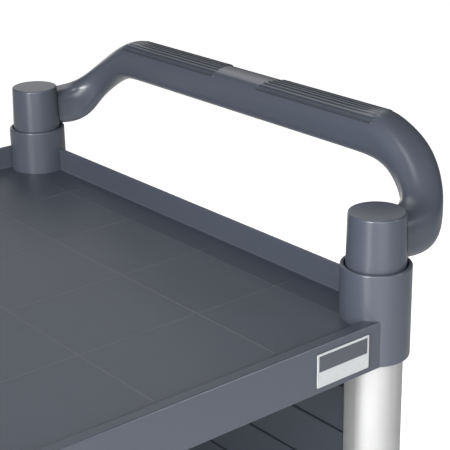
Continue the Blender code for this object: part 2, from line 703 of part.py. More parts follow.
def build_castors():
    """Four swivel castors that trail towards +X, with a brake pedal on each of the two at that end."""
    collar_bottom = FLOOR_HEIGHTS[0] - SKIRT_DROP
    stem = castor_stem_mesh(collar_bottom)
    race = upper_race_mesh()
    plug = corner_plug_mesh(collar_bottom)
    forks = {False: fork_mesh(False), True: fork_mesh(True)}
    bolt = moved(axle_bolt_mesh(), turn=math.pi / 2, axis="X")
    nut = moved(axle_nut_mesh(), turn=math.pi / 2, axis="X")
    half_step = math.pi / WHEEL_STEPS
    core = moved(moved(wheel_core_mesh(), turn=half_step), turn=math.pi / 2, axis="X")
    tyre = moved(moved(tyre_mesh(), turn=half_step), turn=math.pi / 2, axis="X")
    pedal = pedal_mesh()
    for corner, (x, y) in CORNERS.items():
        has_pedal = x > 0
        swivel = place_axis(f"swivel_axis_{corner}", (x, y, 0.0))
        axle = place_axis(f"axle_axis_{corner}", (TRAIL, 0.0, AXLE_HEIGHT), swivel)
        place(f"castor_plug_{corner}", plug, BLACK_PLASTIC, parent=swivel)
        place(f"castor_stem_{corner}", stem, ZINC, parent=swivel)
        place(f"castor_race_{corner}", race, ZINC, parent=swivel)
        place(f"castor_fork_{corner}", forks[has_pedal], ZINC, parent=swivel)
        place(f"castor_bolt_{corner}", bolt, ZINC, parent=axle)
        place(f"castor_nut_{corner}", nut, ZINC, parent=axle)
        place(f"wheel_core_{corner}", core, HUB_PLASTIC, parent=axle)
        place(f"tyre_{corner}", tyre, TYRE_RUBBER, parent=axle)
        if has_pedal:
            pivot = (PEDAL_PIVOT_OUT, 0.0, PEDAL_PIVOT_HEIGHT)
            place(f"brake_pedal_{corner}", pedal, BLACK_PLASTIC, pivot, swivel)


remove_scene_objects()
CART = new_collection("service_cart")
CUTTERS = new_collection("cutters")
build_shelves()
build_posts()
build_ends()
build_label()
build_castors()
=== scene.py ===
"""Looks of the service cart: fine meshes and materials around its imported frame.

Metres, +Z up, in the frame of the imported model. "Out" is a distance outward from the post axes, and a shelf's
heights are measured from the top of its floor.
"""

import json
import math

import bmesh
import bpy
import numpy
from mathutils import Matrix, Vector


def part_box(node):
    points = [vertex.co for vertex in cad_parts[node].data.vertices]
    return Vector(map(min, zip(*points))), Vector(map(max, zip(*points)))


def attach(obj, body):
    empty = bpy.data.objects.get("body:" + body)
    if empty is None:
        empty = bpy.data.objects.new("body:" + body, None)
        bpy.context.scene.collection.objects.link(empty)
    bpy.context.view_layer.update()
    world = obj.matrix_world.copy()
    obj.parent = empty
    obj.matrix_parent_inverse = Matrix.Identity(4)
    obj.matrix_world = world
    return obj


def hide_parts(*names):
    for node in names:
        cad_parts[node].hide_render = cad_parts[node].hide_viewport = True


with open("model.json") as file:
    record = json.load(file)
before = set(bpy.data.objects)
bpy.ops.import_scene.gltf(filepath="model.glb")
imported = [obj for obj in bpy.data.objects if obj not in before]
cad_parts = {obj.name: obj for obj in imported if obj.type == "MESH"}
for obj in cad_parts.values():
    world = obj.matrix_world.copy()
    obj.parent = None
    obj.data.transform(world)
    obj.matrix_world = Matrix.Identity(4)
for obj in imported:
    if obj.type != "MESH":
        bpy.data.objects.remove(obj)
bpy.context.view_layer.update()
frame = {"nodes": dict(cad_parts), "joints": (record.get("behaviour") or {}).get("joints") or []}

# Camera, placed from the front right post's axis at the top floor's height
CAMERA_FROM_POST = Vector((-0.5964, -0.5779, 0.3828))
CAMERA_YAW = 0.6791
CAMERA_PITCH = 0.3663
CAMERA_ROLL = 0.0176
CAMERA_LENS_MM = 106.35
SENSOR_MM = 36.0

# Shelf moulding
SKIRT_DROP = 0.0289
SKIRT_THICKNESS = 0.0028
FLOOR_THICKNESS = 0.0035
WALL_RISE = 0.0198
END_WALL_OUT = 0.0079
BACK_WALL_OUT = 0.0140
FRONT_FLOOR_OUT = 0.0028
FRONT_RAMP_OUT = 0.0112
FRONT_FACE_OUT = 0.0198
FRONT_RIM_RISE = 0.0053
FLOOR_FOOT = 0.0040
SKIN_SINK = 0.0003
RIB_DROP = 0.0190
RIB_CELLS_X = 9
RIB_CELLS_Y = 5
RIB_FOOT = 0.0018
RIB_ROOT = 0.0030

# Raised lines on the shelf floors
LINE_WIDTH = 0.0028
LINE_TOP_WIDTH = 0.0016
LINE_RISE = 0.00035
BORDER_RISE = 0.00020
END_BORDER_IN = 0.0197
BACK_BORDER_IN = 0.0136
FIRST_LINE_IN = 0.0909
SECOND_LINE_IN = 0.1879
MIDDLE_LINES = 3
INNER_LINE_Y = 0.0458
OUTER_LINE_Y = 0.1350

# Collars
COLLAR_RADIUS = 0.0246
COLLAR_RISE = 0.0378
MOUTH_RADIUS = 0.0218
MOUTH_DEPTH = 0.0080
SOCKET_RADIUS = 0.0204

# Handles
CAP_TOP_RADIUS = 0.0199
CAP_FOOT_RADIUS = 0.0208
CAP_RISE = 0.0747
CAP_SEAM = 0.00035
BAR_HALF_WIDTH = 0.0172
BAR_HALF_HEIGHT = 0.0150
BAR_UPPER_POWER = 2.8
BAR_LOWER_POWER = 5.0
# Control sections of an arm: out, in along the end, rise, half width, half height, powers of upper and lower halves
ARM_SECTIONS = (
    (0.0080, 0.0000, 0.0552, 0.0133, 0.0143, 2.9, 4.5),
    (0.0350, 0.0000, 0.0527, 0.0140, 0.0176, 2.8, 4.2),
    (0.0480, 0.0042, 0.0561, 0.0150, 0.0150, 2.6, 3.4),
    (0.0600, 0.0148, 0.0724, 0.0143, 0.0123, 2.4, 2.8),
    (0.0703, 0.0392, 0.0916, 0.0183, 0.0126, 2.4, 2.8),
    (0.0700, 0.0650, 0.1003, 0.0170, 0.0167, 2.5, 3.6),
)
BAR_STARTS_IN = (0.0721, 0.1200)
GRIP_RIBS = 9
GRIP_RIB_PITCH = 0.0039
GRIP_RIB_WIDTH = 0.0021
GRIP_RIB_RISE = 0.0010
GRIP_RIB_SINK = 0.0012
GRIP_RIB_START = 0.0645
GRIP_RIB_END = 0.1850
GRIP_RIB_START_SLANT = 0.0050
GRIP_RIB_END_SLANT = 0.0080

# End panels
PANEL_FACE_IN = 0.0086
PANEL_THICKNESS = 0.0070
GROOVE_PITCH = 0.0373
TOP_GROOVE_DROP = 0.0592
GROOVE_DEPTH = 0.0026
GROOVE_WIDTH = 0.0027
GROOVE_LIP = 0.0014
GROOVE_DRAFT = 0.0003
GROOVES = 8

# Castors, measured from the swivel axis and the floor
TYRE_WIDTH = 0.0300
TYRE_DEPTH = 0.0110
TREAD_POWER = 3.4
AXLE_RADIUS = 0.0040
HUB_WIDTH = 0.0330
RIM_WIDTH = 0.0270
WEB_THICKNESS = 0.0070
SPOKES = 8
FORK_INSIDE = 0.0340
FORK_SHEET = 0.0025
CROWN_HALF = 0.0220
CROWN_HEIGHT = 0.1195
CROWN_SIDE_HEIGHT = 0.1060
FORK_REAR_OUT = 0.0400
FORK_EYE_RADIUS = 0.0105
LOWER_RACE_RADIUS = 0.0190
LOWER_RACE_TOP = 0.1300
UPPER_RACE_RADIUS = 0.0220
UPPER_RACE_TOP = 0.1420
PLUG_FLANGE_RADIUS = 0.0236
PEDAL_HUB_RADIUS = 0.0055
PEDAL_HUB_WIDTH = 0.0260
PEDAL_ARM_WIDTH = 0.0240
PEDAL_PAD_WIDTH = 0.0400
PEDAL_PAD_LENGTH = 0.0260
PEDAL_THICKNESS = 0.0040

ROUND_STEPS = 96
SMALL_STEPS = 48
GAP = 0.0003
SHELVES = ("bottom", "middle", "top")
CORNERS = ("front_left", "front_right", "back_left", "back_right")


def centre_of(node):
    low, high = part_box(node)
    return (low + high) / 2


POST_AXIS = {corner: centre_of(f"upper_post_{corner}").xy for corner in CORNERS}
POST_X = POST_AXIS["front_right"].x
POST_Y = POST_AXIS["back_right"].y
POST_RADIUS = (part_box("upper_post_front_right")[1].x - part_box("upper_post_front_right")[0].x) / 2
FLOOR_HEIGHTS = {name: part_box(f"{name}_shelf")[0].z + SKIRT_DROP for name in SHELVES}
TOP_FLOOR = FLOOR_HEIGHTS["top"]
BAR_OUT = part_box("push_handle_right")[1].x - POST_X - BAR_HALF_WIDTH
BAR_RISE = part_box("push_handle_right")[1].z - TOP_FLOOR - GRIP_RIB_RISE - BAR_HALF_HEIGHT
WHEEL_RADIUS = centre_of("wheel_core_front_right").z


def mesh_from(builder, name="mesh"):
    mesh = bpy.data.meshes.new(name)
    bmesh.ops.recalc_face_normals(builder, faces=builder.faces)
    builder.to_mesh(mesh)
    builder.free()
    return mesh


def rounded(outline, steps=4):
    """Closed outline of (u, v, radius) corners, each corner turned into an arc of its radius."""
    points = []
    for index, (u, v, radius) in enumerate(outline):
        if radius == 0:
            points.append((u, v))
            continue
        corner = Vector((u, v))
        before = (Vector(outline[index - 1][:2]) - corner).normalized()
        after = (Vector(outline[(index + 1) % len(outline)][:2]) - corner).normalized()
        half = before.angle(after) / 2
        centre = corner + (before + after).normalized() * radius / math.sin(half)
        start = corner + before * radius / math.tan(half) - centre
        end = corner + after * radius / math.tan(half) - centre
        turn = start.angle_signed(end)
        for step in range(steps + 1):
            arm = start.copy()
            arm.rotate(Matrix.Rotation(-turn * step / steps, 2))
            points.append(tuple(centre + arm))
    return points


def turned(profile, steps=ROUND_STEPS):
    """Mesh of a closed profile of (radius, height) points turned about Z; points on the axis become poles."""
    builder = bmesh.new()
    rings = []
    for radius, height in profile:
        if radius < 1e-6:
            rings.append([builder.verts.new((0.0, 0.0, height))] * steps)
            continue
        angles = [2 * math.pi * step / steps for step in range(steps)]
        rings.append([builder.verts.new((radius * math.cos(a), radius * math.sin(a), height)) for a in angles])
    for index, ring in enumerate(rings):
        after = rings[(index + 1) % len(rings)]
        for step in range(steps):
            corners = (ring[step], ring[step - 1], after[step - 1], after[step])
            face = list(dict.fromkeys(corners))
            if len(face) > 2:
                builder.faces.new(face)
    return mesh_from(builder)


def prism(outline, low, high, axis):
    """Mesh of an outline run from low to high along an axis; the outline's (u, v) are the other two, in order."""
    def corner(u, v, along):
        return {"X": (along, u, v), "Y": (u, along, v), "Z": (u, v, along)}[axis]
    builder = bmesh.new()
    near = [builder.verts.new(corner(u, v, low)) for u, v in outline]
    far = [builder.verts.new(corner(u, v, high)) for u, v in outline]
    builder.faces.new(near)
    builder.faces.new(far)
    for index in range(len(outline)):
        builder.faces.new((near[index - 1], near[index], far[index], far[index - 1]))
    return mesh_from(builder)


def box(low, high, radius=0.0, axis="Z", steps=3):
    """Box between two corners, its edges along one axis rounded."""
    u, v, along = {"X": (1, 2, 0), "Y": (0, 2, 1), "Z": (0, 1, 2)}[axis]
    outline = [(low[u], low[v], radius), (high[u], low[v], radius), (high[u], high[v], radius), (low[u], high[v], radius)]
    return prism(rounded(outline, steps), low[along], high[along], axis)


def cylinder(radius, low, high, centre=(0.0, 0.0), steps=ROUND_STEPS):
    mesh = turned([(0.0, high), (radius, high), (radius, low), (0.0, low)], steps)
    mesh.transform(Matrix.Translation((*centre, 0.0)))
    return mesh


def moved(mesh, offset=(0.0, 0.0, 0.0), turn=0.0, axis="Z"):
    mesh.transform(Matrix.Translation(offset) @ Matrix.Rotation(turn, 4, axis))
    return mesh


def mirrored(mesh, axis):
    """Copy of a mesh mirrored in the plane square to one axis."""
    scale = [1.0, 1.0, 1.0]
    scale["XYZ".index(axis)] = -1.0
    copy = mesh.copy()
    copy.transform(Matrix.Diagonal((*scale, 1.0)))
    copy.flip_normals()
    return copy


def merged(*meshes):
    """One mesh of several that don't touch."""
    builder = bmesh.new()
    for mesh in meshes:
        builder.from_mesh(mesh)
    result = bpy.data.meshes.new("merged")
    builder.to_mesh(result)
    builder.free()
    return result


def boolean(mesh, tool, operation):
    """Cut a mesh with another, or join the two into one closed body."""
    target = bpy.data.objects.new("target", mesh)
    cutter = bpy.data.objects.new("cutter", tool)
    for item in (target, cutter):
        bpy.context.scene.collection.objects.link(item)
    modifier = target.modifiers.new("boolean", "BOOLEAN")
    modifier.operation = operation
    modifier.solver = "EXACT"
    modifier.object = cutter
    bpy.context.view_layer.update()
    graph = bpy.context.evaluated_depsgraph_get()
    result = bpy.data.meshes.new_from_object(target.evaluated_get(graph))
    for item in (target, cutter):
        bpy.data.objects.remove(item)
    return result


def union(*meshes):
    result = meshes[0]
    for mesh in meshes[1:]:
        result = boolean(result, mesh, "UNION")
    return result


def evaluated(item):
    """Read an object's solid, modifiers and all, into a mesh, and remove the object."""
    bpy.context.view_layer.update()
    graph = bpy.context.evaluated_depsgraph_get()
    mesh = bpy.data.meshes.new_from_object(item.evaluated_get(graph))
    bpy.data.objects.remove(item)
    return mesh


def softened(mesh, width, angle=40.0, segments=3):
    """Round a mesh's sharp edges."""
    item = bpy.data.objects.new("softened", mesh)
    bpy.context.scene.collection.objects.link(item)
    bevel = item.modifiers.new("bevel", "BEVEL")
    bevel.width = width
    bevel.segments = segments
    bevel.limit_method = "ANGLE"
    bevel.angle_limit = math.radians(angle)
    return evaluated(item)


def add_piece(name, mesh, material, body, replaces=(), place=(0.0, 0.0, 0.0), turn=0.0):
    """Dress the cart with one piece: smooth where it is round, riding on a body and standing for CAD nodes."""
    if not mesh.materials:
        mesh.materials.append(material)
        mesh.shade_smooth()
        mesh.set_sharp_from_angle(angle=math.radians(32))
    piece = bpy.data.objects.new(name, mesh)
    bpy.context.scene.collection.objects.link(piece)
    piece.location = place
    piece.rotation_euler.z = turn
    weighted = piece.modifiers.new("weighted_normals", "WEIGHTED_NORMAL")
    weighted.keep_sharp = True
    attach(piece, body)
    if replaces:
        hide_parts(*replaces)
    return piece


class Shader:
    """A material's node tree, with short ways to add what the finishes need."""

    def __init__(self, name, colour, roughness, metallic=0.0):
        self.material = bpy.data.materials.new(name)
        self.material.use_nodes = True
        self.nodes = self.material.node_tree.nodes
        self.links = self.material.node_tree.links
        self.surface = self.nodes["Principled BSDF"]
        self.surface.inputs["Base Color"].default_value = (*colour, 1.0)
        self.surface.inputs["Roughness"].default_value = roughness
        self.surface.inputs["Metallic"].default_value = metallic
        self.colour = colour
        self.tinted = None
        self.roughness = roughness
        self.places = self.nodes.new("ShaderNodeTexCoord").outputs
        self.place = self.places["Object"]

    def upward(self, name):
        """Z of the place on the piece ("Object") or of the direction its surface faces ("Normal")."""
        split = self.nodes.new("ShaderNodeSeparateXYZ")
        self.links.new(self.places[name], split.inputs["Vector"])
        return split.outputs["Z"]

    def stretched(self, scale):
        mapping = self.nodes.new("ShaderNodeMapping")
        mapping.inputs["Scale"].default_value = scale
        self.links.new(self.place, mapping.inputs["Vector"])
        return mapping.outputs["Vector"]

    def noise(self, scale, detail=2.0, place=None):
        noise = self.nodes.new("ShaderNodeTexNoise")
        noise.inputs["Scale"].default_value = scale
        noise.inputs["Detail"].default_value = detail
        self.links.new(place or self.place, noise.inputs["Vector"])
        return noise.outputs["Fac"]

    def ranged(self, value, low, high, start=0.3, end=0.7):
        spread = self.nodes.new("ShaderNodeMapRange")
        spread.inputs["From Min"].default_value = start
        spread.inputs["From Max"].default_value = end
        spread.inputs["To Min"].default_value = low
        spread.inputs["To Max"].default_value = high
        self.links.new(value, spread.inputs["Value"])
        return spread.outputs["Result"]

    def tint(self, *factors):
        """Multiply the base colour by grey factors."""
        for factor in factors:
            scaled = self.nodes.new("ShaderNodeVectorMath")
            scaled.operation = "SCALE"
            if self.tinted is None:
                scaled.inputs[0].default_value = self.colour
            else:
                self.links.new(self.tinted, scaled.inputs[0])
            self.links.new(factor, scaled.inputs["Scale"])
            self.tinted = scaled.outputs["Vector"]
        self.links.new(self.tinted, self.surface.inputs["Base Color"])

    def mix_colour(self, share, colour):
        """Turn the base colour into another one where the share is high."""
        mix = self.nodes.new("ShaderNodeMix")
        mix.data_type = "VECTOR"
        if self.tinted is None:
            mix.inputs["A"].default_value = self.colour
        else:
            self.links.new(self.tinted, mix.inputs["A"])
        mix.inputs["B"].default_value = colour
        self.links.new(share, mix.inputs["Factor"])
        self.tinted = mix.outputs["Result"]

    def product(self, first, second):
        product = self.nodes.new("ShaderNodeMath")
        product.operation = "MULTIPLY"
        self.links.new(first, product.inputs[0])
        self.links.new(second, product.inputs[1])
        return product.outputs["Value"]

    def vary_roughness(self, value, spread):
        result = self.ranged(value, self.roughness - spread, self.roughness + spread)
        self.links.new(result, self.surface.inputs["Roughness"])

    def bump(self, height, strength, distance):
        bump = self.nodes.new("ShaderNodeBump")
        bump.inputs["Strength"].default_value = strength
        bump.inputs["Distance"].default_value = distance
        self.links.new(height, bump.inputs["Height"])
        self.links.new(bump.outputs["Normal"], self.surface.inputs["Normal"])


def moulded_plastic(name, colour, roughness, grain=0.25, mottle=0.05):
    """Injection-moulded plastic with a fine spark grain and slightly uneven gloss."""
    shader = Shader(name, colour, roughness)
    clouds = shader.noise(9.0, 3.0)
    speckle = shader.noise(2600.0, 1.0)
    shader.tint(shader.ranged(clouds, 1 - mottle, 1 + mottle), shader.ranged(speckle, 1 - mottle, 1 + mottle))
    shader.vary_roughness(shader.noise(38.0, 4.0), 0.006)
    shader.bump(shader.noise(1500.0, 2.0), grain, 0.00012)
    return shader.material


def shelf_plastic(name, colour, roughness):
    """Moulded plastic, its floor grained and matter, and the floor's raised lines painted paler as a painted highlight.
    """
    shader = Shader(name, colour, roughness)
    height, facing_up = (shader.upward(name) for name in ("Object", "Normal"))
    level = shader.product(shader.ranged(height, 0.0, 1.0, -0.0006, -0.0002),
                           shader.ranged(height, 1.0, 0.0, FRONT_RIM_RISE + 0.0002, FRONT_RIM_RISE + 0.0006))
    floor = shader.product(level, shader.ranged(facing_up, 0.0, 1.0, 0.70, 0.90))
    line = shader.product(shader.product(floor, shader.ranged(height, 0.0, 1.0, 0.00005, LINE_RISE)),
                          shader.ranged(height, 1.0, 0.0, LINE_RISE + 0.0001, LINE_RISE + 0.0002))
    clouds = shader.noise(9.0, 3.0)
    speckle = shader.noise(2600.0, 1.0)
    shader.mix_colour(floor, FLOOR_COLOUR)
    # painted highlight: the raised lines are turned paler than the floor, for the light they catch
    shader.mix_colour(line, LINE_HIGHLIGHT_COLOUR)
    shader.tint(shader.ranged(clouds, 0.97, 1.03), shader.ranged(speckle, 0.95, 1.05))
    gloss = shader.nodes.new("ShaderNodeMath")
    gloss.operation = "ADD"
    shader.links.new(shader.ranged(floor, roughness, FLOOR_ROUGHNESS, 0.0, 1.0), gloss.inputs[0])
    shader.links.new(shader.ranged(shader.noise(38.0, 4.0), -0.006, 0.006), gloss.inputs[1])
    shader.links.new(gloss.outputs["Value"], shader.surface.inputs["Roughness"])
    shader.bump(shader.noise(1500.0, 2.0), 0.06, 0.00012)
    return shader.material


def drawn_aluminium(name):
    """Satin anodised tube, with faint lines along its length."""
    shader = Shader(name, (0.405, 0.405, 0.405), 0.53, 0.85)
    lines = shader.noise(1.0, 3.0, shader.stretched((900.0, 900.0, 6.0)))
    shader.tint(shader.ranged(lines, 0.98, 1.01), shader.ranged(shader.noise(6.0), 0.98, 1.02))
    shader.vary_roughness(lines, 0.05)
    shader.bump(lines, 0.05, 0.00004)
    return shader.material


def plated_steel(name, colour=(0.52, 0.53, 0.55), roughness=0.33):
    """Zinc-plated pressed steel: a bright coat with a slightly uneven sheen."""
    shader = Shader(name, colour, roughness, 1.0)
    shader.tint(shader.ranged(shader.noise(60.0, 3.0), 0.95, 1.03), shader.ranged(shader.noise(420.0, 2.0), 0.97, 1.02))
    shader.vary_roughness(shader.noise(150.0, 4.0), 0.03)
    shader.bump(shader.noise(900.0, 3.0), 0.12, 0.00008)
    return shader.material


def tyre_rubber(name):
    """Grey rubber, matt, with a faint dusty scuff on it."""
    shader = Shader(name, (0.16, 0.165, 0.175), 0.68)
    dust = shader.noise(70.0, 6.0)
    shader.tint(shader.ranged(dust, 0.90, 1.14), shader.ranged(shader.noise(900.0, 2.0), 0.94, 1.06))
    shader.vary_roughness(dust, 0.08)
    shader.bump(shader.noise(1200.0, 3.0), 0.30, 0.00015)
    return shader.material


def label_metal(name, colour, roughness):
    """Satin foil face of the blank plate."""
    shader = Shader(name, colour, roughness, 0.15)
    shader.tint(shader.ranged(shader.noise(300.0, 3.0), 0.96, 1.03))
    shader.vary_roughness(shader.noise(900.0, 2.0), 0.05)
    return shader.material


def white_stage(name):
    """Plain pale floor: white to the camera and to reflections; its matt part keeps the cart's real shadow, and its
    glow is dimmed near the cart as a painted shadow.
    """
    material = bpy.data.materials.new(name)
    material.use_nodes = True
    nodes = material.node_tree.nodes
    links = material.node_tree.links
    nodes.clear()
    output = nodes.new("ShaderNodeOutputMaterial")
    matt = nodes.new("ShaderNodeBsdfDiffuse")
    matt.inputs["Color"].default_value = (0.80, 0.80, 0.80, 1.0)
    glow = nodes.new("ShaderNodeEmission")
    both = nodes.new("ShaderNodeAddShader")
    links.new(matt.outputs["BSDF"], both.inputs[0])
    links.new(glow.outputs["Emission"], both.inputs[1])
    links.new(both.outputs["Shader"], output.inputs["Surface"])
    # Painted shadow: ambient occlusion dims the floor's glow near the cart, down to STAGE_SHADE
    closeness = nodes.new("ShaderNodeAmbientOcclusion")
    closeness.inputs["Distance"].default_value = STAGE_SHADE_REACH
    shade = nodes.new("ShaderNodeMapRange")
    shade.inputs["To Min"].default_value = STAGE_SHADE
    links.new(closeness.outputs["AO"], shade.inputs["Value"])
    shaded = nodes.new("ShaderNodeMath")
    shaded.operation = "MULTIPLY"
    links.new(seen_directly(nodes, links, STAGE_GLOW, STAGE_MIRROR), shaded.inputs[0])
    links.new(shade.outputs["Result"], shaded.inputs[1])
    links.new(shaded.outputs["Value"], glow.inputs["Strength"])
    return material


def seen_directly(nodes, links, camera_level, mirror_level=None, base=0.0):
    """Strength that is higher for rays from the camera, and for those of mirror-like and clear surfaces."""
    path = nodes.new("ShaderNodeLightPath")
    total = base
    levels = {"Is Camera Ray": camera_level, "Is Glossy Ray": mirror_level or camera_level,
              "Is Transmission Ray": mirror_level or camera_level}
    for ray, level in levels.items():
        step = nodes.new("ShaderNodeMath")
        step.operation = "MULTIPLY_ADD"
        step.inputs[1].default_value = level - base
        links.new(path.outputs[ray], step.inputs[0])
        if isinstance(total, float):
            step.inputs[2].default_value = total
        else:
            links.new(total, step.inputs[2])
        total = step.outputs["Value"]
    return total


# Painted highlight: colour of the floor's raised lines, paler than the floor for the light they catch
LINE_HIGHLIGHT_COLOUR = (0.0430, 0.0480, 0.0600)
FLOOR_COLOUR = (0.0285, 0.0348, 0.0500)
FLOOR_ROUGHNESS = 0.48

# Light levels
WORLD_LEVEL = 0.085
WORLD_MIRROR = 0.115
STAGE_GLOW = 0.91
STAGE_MIRROR = 0.18
# Painted shadow on the stage: the least share of its glow near the cart, and how far that reaches
STAGE_SHADE = 0.50
STAGE_SHADE_REACH = 0.30

SLATE = shelf_plastic("slate_plastic", (0.0415, 0.0478, 0.0630), 0.29)
HANDLE_SLATE = moulded_plastic("handle_plastic", (0.0410, 0.0470, 0.0625), 0.29, 0.05, 0.025)
# Painted shade: the grip ribs are coloured darker than the handle, standing in for the shade in the grooves between
# them
GRIP_RIB_SHADE_DARKENED = moulded_plastic("grip_rib_plastic", (0.0270, 0.0310, 0.0400), 0.32, 0.05, 0.025)
PANEL = moulded_plastic("panel_plastic", (0.030, 0.0345, 0.0450), 0.50)
BLACK = moulded_plastic("black_plastic", (0.030, 0.032, 0.036), 0.48)
CORE = moulded_plastic("wheel_core_plastic", (0.070, 0.074, 0.082), 0.45)
ALUMINIUM = drawn_aluminium("satin_aluminium")
ZINC = plated_steel("zinc_plated_steel")
TYRE = tyre_rubber("grey_tyre_rubber")
LABEL_LIGHT = label_metal("label_light", (0.355, 0.363, 0.372), 0.42)
LABEL_DARK = label_metal("label_dark", (0.050, 0.056, 0.066), 0.45)


def wall_prism(outline, side, axis):
    """A wall of the tray along one side; the outline's u is the distance outward from the post axes."""
    sign = 1 if side == "high" else -1
    reach = (POST_Y if axis == "Y" else POST_X)
    centre = (POST_X if axis == "Y" else POST_Y)
    placed = [(sign * (centre + u), v) for u, v in outline]
    return prism(placed, -reach, reach, axis)


def raised_wall_outline(face):
    """Section of an end wall or the back wall: skirt, wall and the floor's edge."""
    outer = face + SKIRT_THICKNESS
    return rounded([
        (outer, -SKIRT_DROP, 0.0006),
        (outer, WALL_RISE, 0.0009),
        (face, WALL_RISE, 0.0009),
        (face, -SKIN_SINK, 0.0016),
        (-FLOOR_FOOT, -SKIN_SINK, 0.0),
        (-FLOOR_FOOT, -FLOOR_THICKNESS + SKIN_SINK, 0.0),
        (face, -FLOOR_THICKNESS + SKIN_SINK, 0.0),
        (face, -SKIRT_DROP, 0.0005),
    ])


def front_rim_outline():
    """Section of the low front rim: skirt, rounded outer edge, land, ramp and the floor's edge."""
    inner = FRONT_FACE_OUT - SKIRT_THICKNESS
    return rounded([
        (FRONT_FACE_OUT, -SKIRT_DROP, 0.0006),
        (FRONT_FACE_OUT, FRONT_RIM_RISE, 0.0012),
        (FRONT_RAMP_OUT, FRONT_RIM_RISE, 0.0030),
        (FRONT_FLOOR_OUT, -SKIN_SINK, 0.0030),
        (-FLOOR_FOOT, -SKIN_SINK, 0.0),
        (-FLOOR_FOOT, -FLOOR_THICKNESS + SKIN_SINK, 0.0),
        (inner, -FLOOR_THICKNESS + SKIN_SINK, 0.0),
        (inner, -SKIRT_DROP, 0.0005),
    ])


def floor_lines():
    """Positions of the floor's raised lines: those across the tray by x, and those along it by y."""
    outer = [POST_X - FIRST_LINE_IN, POST_X - SECOND_LINE_IN]
    pitch = 2 * outer[-1] / (MIDDLE_LINES + 1)
    middle = [outer[-1] - pitch * (step + 1) for step in range(MIDDLE_LINES)]
    across = sorted(outer + middle + [-x for x in outer])
    along = [-OUTER_LINE_Y, -INNER_LINE_Y, INNER_LINE_Y, OUTER_LINE_Y]
    return across, along


def floor_plate():
    """The floor as one plate, its top a grid that is raised along the lines."""
    across, along = floor_lines()
    border_x = POST_X - END_BORDER_IN
    back_y = POST_Y - BACK_BORDER_IN
    front_y = -POST_Y - FRONT_FLOOR_OUT
    half, half_top = LINE_WIDTH / 2, LINE_TOP_WIDTH / 2
    edge_x = POST_X + END_WALL_OUT + SKIRT_THICKNESS / 2
    edge_low, edge_high = -POST_Y - FRONT_FLOOR_OUT - 0.001, POST_Y + BACK_WALL_OUT + SKIRT_THICKNESS / 2

    def rise(value, centres, height):
        return height * max(0.0, max(1.0 if abs(value - c) <= half_top + 1e-6 else 0.0 for c in centres))

    def stops(low, high, centres):
        values = {low, high}
        for centre in centres:
            values.update((centre - half, centre - half_top, centre + half_top, centre + half))
        return sorted(values)

    xs = stops(-edge_x, edge_x, across + [-border_x, border_x])
    ys = stops(edge_low, edge_high, along + [front_y + half, back_y])
    builder = bmesh.new()
    top = []
    for x in xs:
        row = []
        for y in ys:
            height = 0.0
            if abs(x) <= border_x + half and front_y + half < y <= back_y + half:
                height = max(rise(x, across, LINE_RISE), rise(y, along, LINE_RISE),
                             rise(x, [-border_x, border_x], BORDER_RISE), rise(y, [back_y], BORDER_RISE))
            row.append(builder.verts.new((x, y, height)))
        top.append(row)
    for i in range(len(xs) - 1):
        for j in range(len(ys) - 1):
            builder.faces.new((top[i][j], top[i + 1][j], top[i + 1][j + 1], top[i][j + 1]))
    rim = [row[0] for row in top] + top[-1][1:] + [row[-1] for row in reversed(top[:-1])] + top[0][-2:0:-1]
    foot = [builder.verts.new((v.co.x, v.co.y, -FLOOR_THICKNESS)) for v in rim]
    for index in range(len(rim)):
        builder.faces.new((rim[index - 1], foot[index - 1], foot[index], rim[index]))
    builder.faces.new(foot)
    return mesh_from(builder)


def rib_prisms():
    """The ribs under the floor, thicker at their roots."""
    half_x = POST_X + END_WALL_OUT
    front = -POST_Y - FRONT_FACE_OUT + SKIRT_THICKNESS
    back = POST_Y + BACK_WALL_OUT

    def section(centre):
        return [(centre - RIB_ROOT / 2, -FLOOR_THICKNESS / 2), (centre + RIB_ROOT / 2, -FLOOR_THICKNESS / 2),
                (centre + RIB_FOOT / 2, -RIB_DROP), (centre - RIB_FOOT / 2, -RIB_DROP)]

    across = [-half_x + 2 * half_x * step / RIB_CELLS_X for step in range(1, RIB_CELLS_X)]
    along = [front + (back - front) * step / RIB_CELLS_Y for step in range(1, RIB_CELLS_Y)]
    ribs = [prism(section(x), front - 0.001, back + 0.001, "Y") for x in across]
    ribs += [prism(section(y), -half_x - 0.001, half_x + 0.001, "X") for y in along]
    return ribs


def collar_mesh():
    """One collar: rounded rim, stepped mouth, sockets above and below, and the web between them."""
    mouth_floor = COLLAR_RISE - MOUTH_DEPTH
    profile = rounded([
        (0.0, 0.0, 0.0),
        (SOCKET_RADIUS, 0.0, 0.0),
        (SOCKET_RADIUS, mouth_floor, 0.0),
        (MOUTH_RADIUS, mouth_floor, 0.0),
        (MOUTH_RADIUS, COLLAR_RISE, 0.0006),
        (COLLAR_RADIUS, COLLAR_RISE, 0.0011),
        (COLLAR_RADIUS, -SKIRT_DROP, 0.0011),
        (SOCKET_RADIUS, -SKIRT_DROP, 0.0004),
        (SOCKET_RADIUS, -FLOOR_THICKNESS, 0.0),
        (0.0, -FLOOR_THICKNESS, 0.0),
    ])
    return turned(profile)


